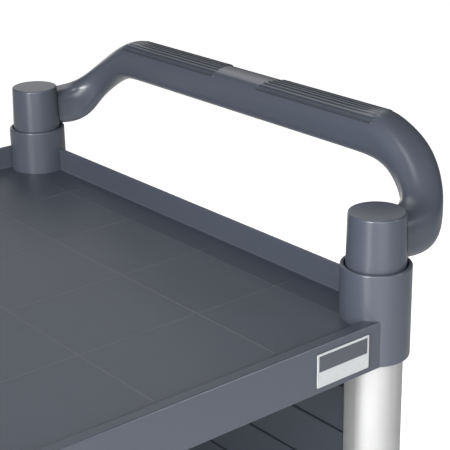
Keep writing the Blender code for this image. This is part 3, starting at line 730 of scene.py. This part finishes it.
def shelf_mesh():
    """A shelf moulding, with the top of its floor at height zero."""
    mesh = union(
        floor_plate(),
        *rib_prisms(),
        wall_prism(raised_wall_outline(END_WALL_OUT), "low", "Y"),
        wall_prism(raised_wall_outline(END_WALL_OUT), "high", "Y"),
        wall_prism(raised_wall_outline(BACK_WALL_OUT), "high", "X"),
        wall_prism(front_rim_outline(), "low", "X"),
    )
    hole = (SOCKET_RADIUS + COLLAR_RADIUS) / 2
    for corner in CORNERS:
        mesh = boolean(mesh, cylinder(hole, -0.1, 0.1, POST_AXIS[corner]), "DIFFERENCE")
    for corner in CORNERS:
        mesh = union(mesh, moved(collar_mesh(), (*POST_AXIS[corner], 0.0)))
    return mesh


def add_shelves():
    mesh = shelf_mesh()
    for name in SHELVES:
        add_piece(f"{name}_shelf_moulding", mesh, SLATE, "cart", [f"{name}_shelf"],
                  (0.0, 0.0, FLOOR_HEIGHTS[name]))


def add_posts():
    for tier in ("lower", "upper"):
        for corner in CORNERS:
            low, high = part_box(f"{tier}_post_{corner}")
            inner = POST_RADIUS - 0.0016
            profile = rounded([(POST_RADIUS, high.z - low.z, 0.0003), (POST_RADIUS, 0.0, 0.0003),
                               (inner, 0.0, 0.0003), (inner, high.z - low.z, 0.0003)], 2)
            add_piece(f"{tier}_tube_{corner}", turned(profile), ALUMINIUM, "cart",
                      [f"{tier}_post_{corner}"], (*POST_AXIS[corner], low.z))


def spline(rows, steps):
    """Rows along a uniform cubic B-spline that starts and ends on the outer control rows."""
    padded = [rows[0]] * 2 + rows + [rows[-1]] * 2
    points = []
    for index in range(len(padded) - 3):
        for step in range(steps):
            u = step / steps
            weights = ((1 - u) ** 3, 3 * u ** 3 - 6 * u ** 2 + 4, 3 * (u + u ** 2 - u ** 3) + 1, u ** 3)
            columns = zip(*padded[index:index + 4])
            points.append([sum(weight * value for weight, value in zip(weights, column)) / 6 for column in columns])
    return points + [list(rows[-1])]


def superellipse(half_width, half_height, upper, lower, steps=72):
    """Closed rounded outline; the higher a half's power, the squarer its corners."""
    points = []
    for step in range(steps):
        across, along = math.cos(2 * math.pi * step / steps), math.sin(2 * math.pi * step / steps)
        share = 2 / (upper if along > 0 else lower)
        points.append((half_width * math.copysign(abs(across) ** share, across),
                       half_height * math.copysign(abs(along) ** share, along)))
    return points


def eased(rings, rounds=160, reach=12):
    """Round the inner sides of the tight bends, where the sections crowd together."""
    path = rings.mean(axis=1)
    ahead = numpy.diff(path, axis=0)
    advance = ((rings[1:] - rings[:-1]) * ahead[:, None]).sum(-1) / (ahead ** 2).sum(-1)[:, None]
    crowded = numpy.clip((0.75 - advance) / 0.5, 0.0, 1.0)
    share = numpy.zeros(rings.shape[:2])
    share[1:-1] = numpy.maximum(crowded[:-1], crowded[1:])
    for _ in range(reach):
        share[1:-1] = numpy.maximum(share[1:-1], 0.9 * numpy.maximum(share[:-2], share[2:]))
    for _ in range(rounds):
        rings[1:-1] += 0.5 * share[1:-1, :, None] * ((rings[:-2] + rings[2:]) / 2 - rings[1:-1])
    return rings


def grip_loft(steps):
    """The bar and its two arms: rounded sections, kept level across, about the middle of an end's post axes."""
    section = (BAR_HALF_WIDTH, BAR_HALF_HEIGHT, BAR_UPPER_POWER, BAR_LOWER_POWER)
    bar = [(BAR_OUT, inward, BAR_RISE, *section) for inward in BAR_STARTS_IN]
    half = [(x, -POST_Y + inward, *rest) for x, inward, *rest in list(ARM_SECTIONS) + bar]
    stations = spline(half + [(x, -y, *rest) for x, y, *rest in reversed(half)], steps)
    places = [Vector(station[:3]) for station in stations]
    rings = []
    for index, (place, (width, height, top, foot)) in enumerate(zip(places, [station[3:] for station in stations])):
        ahead = places[min(index + 1, len(places) - 1)] - places[max(index - 1, 0)]
        side = ahead.cross(Vector((0.0, 0.0, 1.0))).normalized()
        up = side.cross(ahead).normalized()
        outline = superellipse(width, height, top, foot)
        rings.append([place + side * across + up * rise for across, rise in outline])
    builder = bmesh.new()
    rings = [[builder.verts.new(point) for point in ring] for ring in eased(numpy.array(rings))]
    for near, far in zip(rings, rings[1:]):
        for index in range(len(near)):
            builder.faces.new((near[index - 1], near[index], far[index], far[index - 1]))
    builder.faces.new(rings[0])
    builder.faces.new(rings[-1])
    return mesh_from(builder)


def grip_arm_mesh():
    """Bar and arms, cut back to a hairline seam round each cap."""
    mesh = grip_loft(10)
    for y in (-POST_Y, POST_Y):
        profile = [(0.0, CAP_RISE + 0.02), (CAP_TOP_RADIUS + CAP_SEAM, CAP_RISE + 0.02),
                   (CAP_TOP_RADIUS + CAP_SEAM, CAP_RISE), (CAP_FOOT_RADIUS + CAP_SEAM, COLLAR_RISE), (0.0, COLLAR_RISE)]
        mesh = boolean(mesh, moved(turned(profile), (0.0, y, 0.0)), "DIFFERENCE")
    return mesh


def bar_surface(along):
    """Place and lean of the bar's rounded top, by the distance along its section from the middle of the top."""
    before, travelled = Vector((0.0, BAR_HALF_HEIGHT)), 0.0
    quarter = superellipse(BAR_HALF_WIDTH, BAR_HALF_HEIGHT, BAR_UPPER_POWER, BAR_LOWER_POWER, 1600)[399:0:-1]
    for here in map(Vector, quarter):
        step = here - before
        travelled += step.length
        if travelled >= abs(along):
            break
        before = here
    return math.copysign(here.x, along), here.y, math.copysign(math.atan2(-step.y, step.x), along)


def grip_rib(along, start, end):
    """One raised rib on the bar, with rounded top and run-out ends."""
    across, height, lean = bar_surface(along)
    half = GRIP_RIB_WIDTH / 2
    rise, sink = GRIP_RIB_RISE, GRIP_RIB_SINK
    outline = rounded([(-half, -sink, 0.0), (half, -sink, 0.0), (half * 0.8, rise, 0.0005), (-half * 0.8, rise, 0.0005)], 3)
    builder = bmesh.new()
    rings = []
    for y, level in ((start, 0.0), (start + 0.0009, 0.75), (start + 0.0022, 1.0),
                     (end - 0.0022, 1.0), (end - 0.0009, 0.75), (end, 0.0)):
        ring = []
        for u, v in outline:
            v = v if v < 0 else v * level - (1 - level) * 0.0002
            x = across + u * math.cos(lean) + v * math.sin(lean)
            z = height - u * math.sin(lean) + v * math.cos(lean)
            ring.append(builder.verts.new((BAR_OUT + x, y, BAR_RISE + z)))
        rings.append(ring)
    for before, after in zip(rings, rings[1:]):
        for index in range(len(outline)):
            builder.faces.new((before[index - 1], before[index], after[index], after[index - 1]))
    builder.faces.new(rings[0])
    builder.faces.new(rings[-1])
    return mesh_from(builder)


def grip_ribs_mesh():
    """Two ribbed zones over the top of the bar; the ribs nearer the tray are longer."""
    ribs = []
    for index in range(GRIP_RIBS):
        inward = 0.5 - index / (GRIP_RIBS - 1)
        start = -POST_Y + GRIP_RIB_START - GRIP_RIB_START_SLANT * inward
        end = -POST_Y + GRIP_RIB_END + GRIP_RIB_END_SLANT * inward
        along = -inward * (GRIP_RIBS - 1) * GRIP_RIB_PITCH
        ribs += [grip_rib(along, start, end), grip_rib(along, -end, -start)]
    return merged(*ribs)


def cap_mesh():
    profile = rounded([
        (0.0, CAP_RISE, 0.0),
        (CAP_TOP_RADIUS, CAP_RISE, 0.0014),
        (CAP_FOOT_RADIUS, COLLAR_RISE, 0.0),
        (CAP_FOOT_RADIUS, COLLAR_RISE - MOUTH_DEPTH + GAP, 0.0),
        (POST_RADIUS, COLLAR_RISE - MOUTH_DEPTH + GAP, 0.0),
        (POST_RADIUS, GAP, 0.0),
        (0.0, GAP, 0.0),
    ])
    return turned(profile)


def add_handles():
    arm = grip_arm_mesh()
    ribs = grip_ribs_mesh()
    cap = cap_mesh()
    for side, sign in (("right", 1), ("left", -1)):
        turn = 0.0 if sign > 0 else math.pi
        place = (sign * POST_X, 0.0, TOP_FLOOR)
        add_piece(f"handle_bar_{side}", arm, HANDLE_SLATE, "cart", [f"push_handle_{side}"], place, turn)
        # ribs in their darker colour, a painted shade for their grooves
        add_piece(f"handle_grip_ribs_{side}", ribs, GRIP_RIB_SHADE_DARKENED, "cart", (), place, turn)
        for row, y in (("front", -POST_Y), ("back", POST_Y)):
            add_piece(f"handle_cap_{row}_{side}", cap, HANDLE_SLATE, "cart", (), (sign * POST_X, y, TOP_FLOOR))


def panel_mesh(low, high):
    """A grooved end panel for the +X end, between two heights above the shelf floor that carries it."""
    inner, outer = -PANEL_FACE_IN, PANEL_THICKNESS - PANEL_FACE_IN
    pitch = FLOOR_HEIGHTS["top"] - FLOOR_HEIGHTS["middle"]
    grooves = [pitch - TOP_GROOVE_DROP - row * GROOVE_PITCH for row in range(GROOVES)]
    inner_side, outer_side = [], []
    for z in grooves:
        for side, face, inward in ((inner_side, inner, 1), (outer_side, outer, -1)):
            bed = face + inward * GROOVE_DEPTH
            side += [(face, z, 0.0003), (bed, z - GROOVE_DRAFT, 0.0002), (bed, z - GROOVE_WIDTH + GROOVE_DRAFT, 0.0002),
                     (face + inward * GROOVE_LIP / 2, z - GROOVE_WIDTH, 0.0002), (face, z - GROOVE_WIDTH - GROOVE_LIP, 0.0003)]
    outline = [(outer, high, 0.0006), (inner, high, 0.0006)] + inner_side + [(inner, low, 0.0006), (outer, low, 0.0006)]
    outline += outer_side[::-1]
    half = POST_Y - POST_RADIUS - GAP
    mesh = prism(rounded(outline, 3), -half, half, "Y")
    reach = POST_Y - COLLAR_RADIUS - GAP
    for side in (-1, 1):
        for bottom, top in ((low - 0.01, COLLAR_RISE + GAP), (pitch - SKIRT_DROP - GAP, high + 0.01)):
            ys = sorted((side * reach, side * POST_Y))
            cutter = box((inner - 0.01, ys[0], bottom), (outer + 0.01, ys[1], top))
            mesh = boolean(mesh, cutter, "DIFFERENCE")
    return mesh


def add_panels():
    low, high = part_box("upper_end_panel_right")
    mesh = panel_mesh(low.z - FLOOR_HEIGHTS["middle"], high.z - FLOOR_HEIGHTS["middle"])
    for tier, shelf in (("lower", "bottom"), ("upper", "middle")):
        for side, sign in (("right", 1), ("left", -1)):
            add_piece(f"{tier}_grooved_panel_{side}", mesh, PANEL, "cart", [f"{tier}_end_panel_{side}"],
                      (sign * POST_X, 0.0, FLOOR_HEIGHTS[shelf]), 0.0 if sign > 0 else math.pi)


def add_label():
    """Blank two-tone plate: a light frame and lower half round a darker upper field."""
    low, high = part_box("label_plate")
    frame_width = 0.0016
    field_height = (high.z - low.z) * 0.47
    plate = softened(box(low, high, 0.0008, "Y"), 0.00015, segments=2)
    add_piece("label_blank_plate", plate, LABEL_LIGHT, "cart", ["label_plate"])
    field_low = (low.x + frame_width, low.y - 0.00006, high.z - frame_width - field_height)
    field_high = (high.x - frame_width, low.y + 0.0002, high.z - frame_width)
    add_piece("label_dark_field", box(field_low, field_high, 0.0003, "Y"), LABEL_DARK, "cart")


def wheel_core_mesh():
    """Wheel core turned about Z: hub, web with spokes on both faces, and rim."""
    rim = WHEEL_RADIUS - TYRE_DEPTH - GAP
    inner = rim - 0.0035
    half = [
        (0.0110, HUB_WIDTH / 2, 0.0006),
        (0.0118, WEB_THICKNESS / 2, 0.0012),
        (inner - 0.0008, WEB_THICKNESS / 2, 0.0012),
        (inner, RIM_WIDTH / 2, 0.0005),
        (rim, RIM_WIDTH / 2, 0.0005),
    ]
    other = [(radius, -height, corner) for radius, height, corner in reversed(half)]
    bore = AXLE_RADIUS + GAP
    mesh = turned(rounded(half + other + [(bore, -HUB_WIDTH / 2, 0.0), (bore, HUB_WIDTH / 2, 0.0)], 3), ROUND_STEPS)
    spokes = []
    for step in range(SPOKES):
        spoke = box((0.0100, -0.0014, -RIM_WIDTH * 0.36), (inner + 0.0006, 0.0014, RIM_WIDTH * 0.36), 0.0006, "X", 2)
        spokes.append(moved(spoke, turn=2 * math.pi * step / SPOKES))
    return union(mesh, merged(*spokes))


def tyre_mesh():
    """Tyre turned about Z: a round tread with a fine mould line, and flat sides down to the rim."""
    inner = WHEEL_RADIUS - TYRE_DEPTH
    section = superellipse(TYRE_WIDTH / 2, TYRE_DEPTH, TREAD_POWER, TREAD_POWER)
    tread = [(inner + depth, across) for across, depth in section[:len(section) // 2 + 1] if depth > -1e-9]
    middle = len(tread) // 2
    crest = tread[middle][0]
    tread[middle:middle + 1] = [(crest - 0.0002, 0.0006), (crest, 0.0003), (crest, -0.0003), (crest - 0.0002, -0.0006)]
    return turned(tread, ROUND_STEPS)


def bearing_mesh(side):
    """Seal and inner ring of the wheel's bearing, at one end of the hub."""
    face = HUB_WIDTH / 2
    seal = turned(rounded([(0.0092, face + 0.0002, 0.0001), (0.0092, face - 0.001, 0.0),
                           (0.0062, face - 0.001, 0.0), (0.0062, face + 0.0002, 0.0001)], 2), SMALL_STEPS)
    return moved(seal, turn=0.0 if side > 0 else math.pi, axis="X")


def fork_cheek_outline(axle_x, axle_z):
    angles = [math.pi + math.pi * step / 20 for step in range(21)]
    eye = [(axle_x + FORK_EYE_RADIUS * math.cos(a), axle_z + FORK_EYE_RADIUS * math.sin(a)) for a in angles]
    top = rounded([(eye[-1][0], eye[-1][1], 0.0), (FORK_REAR_OUT, CROWN_HEIGHT, 0.004), (-CROWN_HALF, CROWN_HEIGHT, 0.0),
                   (-CROWN_HALF, CROWN_SIDE_HEIGHT, 0.004), (eye[0][0], eye[0][1], 0.0)], 4)
    return top[1:-1] + eye


def fork_mesh(axle_x, axle_z, pivot=None):
    """Pressed fork: two cheeks, crown, and the lower bearing race on it."""
    outer = FORK_INSIDE / 2 + FORK_SHEET
    outline = fork_cheek_outline(axle_x, axle_z)
    crown = box((-CROWN_HALF, -outer, CROWN_HEIGHT - FORK_SHEET), (CROWN_HALF, outer, CROWN_HEIGHT), 0.0018, "X")
    mesh = union(crown, prism(outline, -outer, -FORK_INSIDE / 2, "Y"), prism(outline, FORK_INSIDE / 2, outer, "Y"))
    race = turned(rounded([(0.0, CROWN_HEIGHT - 0.0012, 0.0), (LOWER_RACE_RADIUS, CROWN_HEIGHT - 0.0012, 0.0),
                           (LOWER_RACE_RADIUS, LOWER_RACE_TOP, 0.0016), (0.0, LOWER_RACE_TOP, 0.0)], 4))
    mesh = union(mesh, race)
    mesh = boolean(mesh, cylinder(0.0053, 0.08, 0.15, steps=SMALL_STEPS), "DIFFERENCE")
    holes = [(AXLE_RADIUS + GAP, axle_x, axle_z)]
    if pivot is not None:
        holes.append((0.0033, pivot.x, pivot.z))
    for radius, x, z in holes:
        hole = moved(cylinder(radius, -0.05, 0.05, steps=SMALL_STEPS), (x, 0.0, z), math.pi / 2, "X")
        mesh = boolean(mesh, hole, "DIFFERENCE")
    return softened(mesh, 0.0004, 50.0, 2)


def hex_head(radius, low, high):
    """Hexagon with its outer face's corners turned away."""
    angles = [math.pi / 3 * step for step in range(6)]
    body = prism([(radius * math.cos(a), radius * math.sin(a)) for a in angles], low, high, "Z")
    shape = turned([(0.0, low - 0.001), (radius + 0.001, low - 0.001), (radius + 0.001, high - 0.0012),
                    (radius * 0.87, high), (0.0, high)], SMALL_STEPS)
    return boolean(body, shape, "INTERSECT")


def bolt_mesh(reach):
    """Axle bolt along Z: washer face, hexagon head, shank and a turned end level with the nut."""
    head = hex_head(0.0074, reach + 0.0008, reach + 0.0055)
    washer = turned(rounded([(0.0, reach + 0.0009, 0.0), (0.0071, reach + 0.0009, 0.0002), (0.0071, reach, 0.0002),
                             (0.0, reach, 0.0)], 2), SMALL_STEPS)
    shank = turned(rounded([(0.0, reach + 0.0005, 0.0), (AXLE_RADIUS, reach + 0.0005, 0.0),
                            (AXLE_RADIUS, -reach - 0.0055, 0.0005), (0.0, -reach - 0.0055, 0.0)], 2), SMALL_STEPS)
    return union(head, washer, shank)


def nut_mesh(reach):
    """Locking nut along Z: hexagon with a domed collar."""
    body = moved(hex_head(0.0074, reach, reach + 0.0042), turn=math.pi, axis="X")
    dome = turned(rounded([(0.0, -reach - 0.0035, 0.0), (0.0062, -reach - 0.0035, 0.0), (0.0056, -reach - 0.0055, 0.0008),
                           (0.0, -reach - 0.0055, 0.0)], 3), SMALL_STEPS)
    thread = cylinder(AXLE_RADIUS + GAP, -reach - 0.02, 0.0, steps=SMALL_STEPS)
    return boolean(union(body, dome), thread, "DIFFERENCE")


def stem_mesh(low, high):
    profile = rounded([(0.0, high, 0.0), (0.006, high, 0.0006), (0.006, UPPER_RACE_TOP - 0.0023, 0.0),
                       (0.005, UPPER_RACE_TOP - 0.0023, 0.0), (0.005, low + 0.003, 0.0), (0.0085, low + 0.003, 0.0003),
                       (0.0075, low, 0.0010), (0.0, low, 0.0)], 3)
    return turned(profile, SMALL_STEPS)


def upper_race_mesh():
    """Pressed bearing cup with a rolled lower lip."""
    inner = LOWER_RACE_RADIUS + 0.0006
    profile = rounded([(0.0063, UPPER_RACE_TOP, 0.0), (0.0182, UPPER_RACE_TOP, 0.0012), (UPPER_RACE_RADIUS, 0.1385, 0.0015),
                       (UPPER_RACE_RADIUS, 0.1280, 0.0005), (inner, 0.1280, 0.0004), (inner, LOWER_RACE_TOP + GAP, 0.0),
                       (0.0063, LOWER_RACE_TOP + GAP, 0.0)], 4)
    return turned(profile)


def plug_mesh(collar_bottom):
    """Plug under a bottom collar: rounded flange, and the barrel that fills the socket."""
    low = UPPER_RACE_TOP + GAP
    top = collar_bottom + 0.0240
    flange_top = collar_bottom - GAP
    profile = rounded([(POST_RADIUS, top, 0.0008), (POST_RADIUS, flange_top, 0.0), (PLUG_FLANGE_RADIUS, flange_top, 0.0008),
                       (PLUG_FLANGE_RADIUS, 0.1460, 0.0012), (PLUG_FLANGE_RADIUS - 0.0022, low, 0.0006),
                       (0.0063, low, 0.0), (0.0063, top, 0.0)], 3)
    return turned(profile)


def pedal_mesh(top, tip):
    """Brake pedal about its pivot: hub, a web that rises from it, and a bent arm with a foot pad and grip bars."""
    low = top - PEDAL_THICKNESS
    start = tip - PEDAL_PAD_LENGTH
    half_arm, half_pad, half_web = PEDAL_ARM_WIDTH / 2, PEDAL_PAD_WIDTH / 2, PEDAL_THICKNESS / 2
    arm = prism(rounded([(-half_web, 0.0, 0.0), (half_web, 0.0, 0.0), (half_web, low, 0.0010), (start + 0.004, low, 0.0),
                         (start + 0.004, top, 0.0), (-half_web, top, 0.0020)], 4), -half_arm, half_arm, "Y")
    pad = prism(rounded([(start, -half_pad, 0.004), (tip, -half_pad, 0.007), (tip, half_pad, 0.007), (start, half_pad, 0.004)], 6),
                low - 0.0004, top + 0.0002, "Z")
    hub = moved(cylinder(PEDAL_HUB_RADIUS, -PEDAL_HUB_WIDTH / 2, PEDAL_HUB_WIDTH / 2, steps=SMALL_STEPS),
                turn=math.pi / 2, axis="X")
    mesh = softened(union(hub, arm, softened(pad, 0.0010)), 0.0004, 50.0, 2)
    bars = []
    for index in range(4):
        x = start + 0.005 + index * 0.0048
        bars.append(box((x, -half_pad + 0.006, top - 0.0008), (x + 0.0022, half_pad - 0.006, top + 0.0010), 0.0007, "Y"))
    return union(mesh, merged(*bars))


def pedal_pin_mesh():
    half = FORK_INSIDE / 2 + FORK_SHEET + 0.001
    profile = rounded([(0.0, half, 0.0), (0.003, half, 0.0006), (0.003, -half, 0.0006), (0.0, -half, 0.0)], 2)
    return moved(turned(profile, SMALL_STEPS), turn=math.pi / 2, axis="X")


def add_castors():
    """Four castors; every size that the frame gives is read from the front right one."""
    axle = centre_of("wheel_core_front_right")
    swivel = POST_AXIS["front_right"]
    trail = axle.x - swivel.x
    reach = FORK_INSIDE / 2 + FORK_SHEET + GAP
    stem_low, stem_high = (corner.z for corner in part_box("castor_stem_front_right"))
    collar_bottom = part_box("bottom_shelf")[0].z
    pivot_joint = next(joint for joint in frame["joints"] if joint["name"] == "brake_front_right")
    pivot = Vector(pivot_joint["pos_m"])
    pedal_low, pedal_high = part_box("brake_pedal_front_right")
    pivot_local = pivot - Vector((*swivel, 0.0))
    meshes = {
        "core": moved(wheel_core_mesh(), turn=math.pi / 2, axis="X"),
        "tyre": moved(tyre_mesh(), turn=math.pi / 2, axis="X"),
        "seal": moved(merged(bearing_mesh(1), bearing_mesh(-1)), turn=math.pi / 2, axis="X"),
        "bolt": moved(bolt_mesh(reach), turn=math.pi / 2, axis="X"),
        "nut": moved(nut_mesh(reach), turn=math.pi / 2, axis="X"),
        "fork": fork_mesh(trail, axle.z),
        "fork_with_pedal": fork_mesh(trail, axle.z, pivot_local),
        "stem": stem_mesh(stem_low, stem_high),
        "race": upper_race_mesh(),
        "plug": plug_mesh(collar_bottom),
        "pedal": pedal_mesh(pedal_high.z - 0.001 - pivot.z, pedal_high.x - pivot.x),
        "pin": pedal_pin_mesh(),
    }
    for corner in CORNERS:
        x, y = POST_AXIS[corner]
        pedal = f"brake_pedal_{corner}" in frame["nodes"]
        at_swivel, at_axle = (x, y, 0.0), (x + trail, y, axle.z)
        fork = meshes["fork_with_pedal" if pedal else "fork"]
        swivel_body, wheel_body = f"swivel_{corner}", f"wheel_{corner}"
        add_piece(f"plug_{corner}", meshes["plug"], BLACK, "cart", [f"castor_plug_{corner}"], at_swivel)
        add_piece(f"stem_{corner}", meshes["stem"], ZINC, "cart", [f"castor_stem_{corner}"], at_swivel)
        add_piece(f"race_{corner}", meshes["race"], ZINC, "cart", [f"castor_race_{corner}"], at_swivel)
        add_piece(f"fork_{corner}", fork, ZINC, swivel_body, [f"castor_fork_{corner}"], at_swivel)
        add_piece(f"bolt_{corner}", meshes["bolt"], ZINC, swivel_body, [f"castor_bolt_{corner}"], at_axle)
        add_piece(f"nut_{corner}", meshes["nut"], ZINC, swivel_body, [f"castor_nut_{corner}"], at_axle)
        add_piece(f"core_{corner}", meshes["core"], CORE, wheel_body, [f"wheel_core_{corner}"], at_axle)
        add_piece(f"seals_{corner}", meshes["seal"], BLACK, wheel_body, (), at_axle)
        add_piece(f"tyre_tread_{corner}", meshes["tyre"], TYRE, wheel_body, [f"tyre_{corner}"], at_axle)
        if pedal:
            at_pivot = (x + pivot_local.x, y, pivot.z)
            add_piece(f"pedal_{corner}", meshes["pedal"], BLACK, f"pedal_{corner}",
                      [f"brake_pedal_{corner}"], at_pivot)
            add_piece(f"pedal_pin_{corner}", meshes["pin"], ZINC, f"pedal_{corner}", (), at_pivot)


def add_stage():
    """Plain white floor, far wider than the cart."""
    builder = bmesh.new()
    bmesh.ops.create_grid(builder, x_segments=1, y_segments=1, size=30.0)
    mesh = mesh_from(builder)
    mesh.materials.append(white_stage("stage_white"))
    floor = bpy.data.objects.new("studio_floor", mesh)
    bpy.context.scene.collection.objects.link(floor)


def add_world():
    world = bpy.data.worlds.new("studio")
    world.use_nodes = True
    nodes = world.node_tree.nodes
    background = nodes["Background"]
    background.inputs["Color"].default_value = (1.0, 1.0, 1.0, 1.0)
    level = seen_directly(nodes, world.node_tree.links, 1.0, WORLD_MIRROR, WORLD_LEVEL)
    world.node_tree.links.new(level, background.inputs["Strength"])
    bpy.context.scene.world = world


def add_softbox(name, place, aim, size, power):
    """A rectangular lamp at a place, facing a point."""
    lamp = bpy.data.lights.new(name, "AREA")
    lamp.shape = "RECTANGLE"
    lamp.size, lamp.size_y = size
    lamp.energy = power
    item = bpy.data.objects.new(name, lamp)
    item.visible_camera = False
    item.location = place
    item.rotation_euler = (Vector(aim) - Vector(place)).to_track_quat("-Z", "Y").to_euler()
    bpy.context.scene.collection.objects.link(item)


def add_lamps():
    middle = (0.30, 0.0, 0.88)
    add_softbox("strip_softbox", (-1.29, -0.68, 1.45), middle, (0.36, 1.5), 65.0)
    add_softbox("low_strip_softbox", (-1.29, -0.68, 0.48), middle, (0.30, 0.9), 3.0)
    add_softbox("key_softbox", (-0.43, -2.04, 1.35), middle, (1.6, 1.1), 31.0)
    add_softbox("low_key_softbox", (-0.43, -2.04, 0.55), middle, (1.5, 0.9), 5.0)
    add_softbox("camera_side_softbox", (-1.25, -1.60, 1.35), middle, (0.9, 1.0), 17.0)
    add_softbox("left_softbox", (-1.85, 0.10, 1.45), middle, (0.8, 1.2), 3.0)
    add_softbox("right_softbox", (1.35, -1.75, 1.60), middle, (0.35, 0.45), 10.0)
    add_softbox("back_softbox", (1.58, 1.65, 2.00), middle, (1.4, 0.9), 4.6)
    add_softbox("back_high_softbox", (1.20, 1.30, 2.70), middle, (1.0, 0.8), 5.5)
    add_softbox("behind_softbox", (1.00, 2.50, 0.75), (0.0, 0.0, 0.60), (1.6, 1.0), 12.0)
    add_softbox("top_softbox", (-0.05, -0.75, 2.95), middle, (0.4, 0.4), 10.0)


def add_camera():
    data = bpy.data.cameras.new("photograph_view")
    data.lens = CAMERA_LENS_MM
    data.sensor_width = SENSOR_MM
    camera = bpy.data.objects.new("photograph_view", data)
    flat = Vector((math.sin(CAMERA_YAW), math.cos(CAMERA_YAW), 0.0))
    forward = flat * math.cos(CAMERA_PITCH) - Vector((0.0, 0.0, math.sin(CAMERA_PITCH)))
    level = Vector((math.cos(CAMERA_YAW), -math.sin(CAMERA_YAW), 0.0))
    down = forward.cross(level)
    right = level * math.cos(CAMERA_ROLL) + down * math.sin(CAMERA_ROLL)
    up = level * math.sin(CAMERA_ROLL) - down * math.cos(CAMERA_ROLL)
    rotation = Matrix((right, up, -forward)).transposed()
    post = Vector((*POST_AXIS["front_right"], TOP_FLOOR))
    camera.matrix_world = Matrix.Translation(post + CAMERA_FROM_POST) @ rotation.to_4x4()
    bpy.context.scene.collection.objects.link(camera)
    bpy.context.scene.camera = camera


add_shelves()
add_posts()
add_handles()
add_panels()
add_label()
add_castors()
add_stage()
add_world()
add_lamps()
add_camera()
bpy.context.scene.view_settings.view_transform = "Standard"
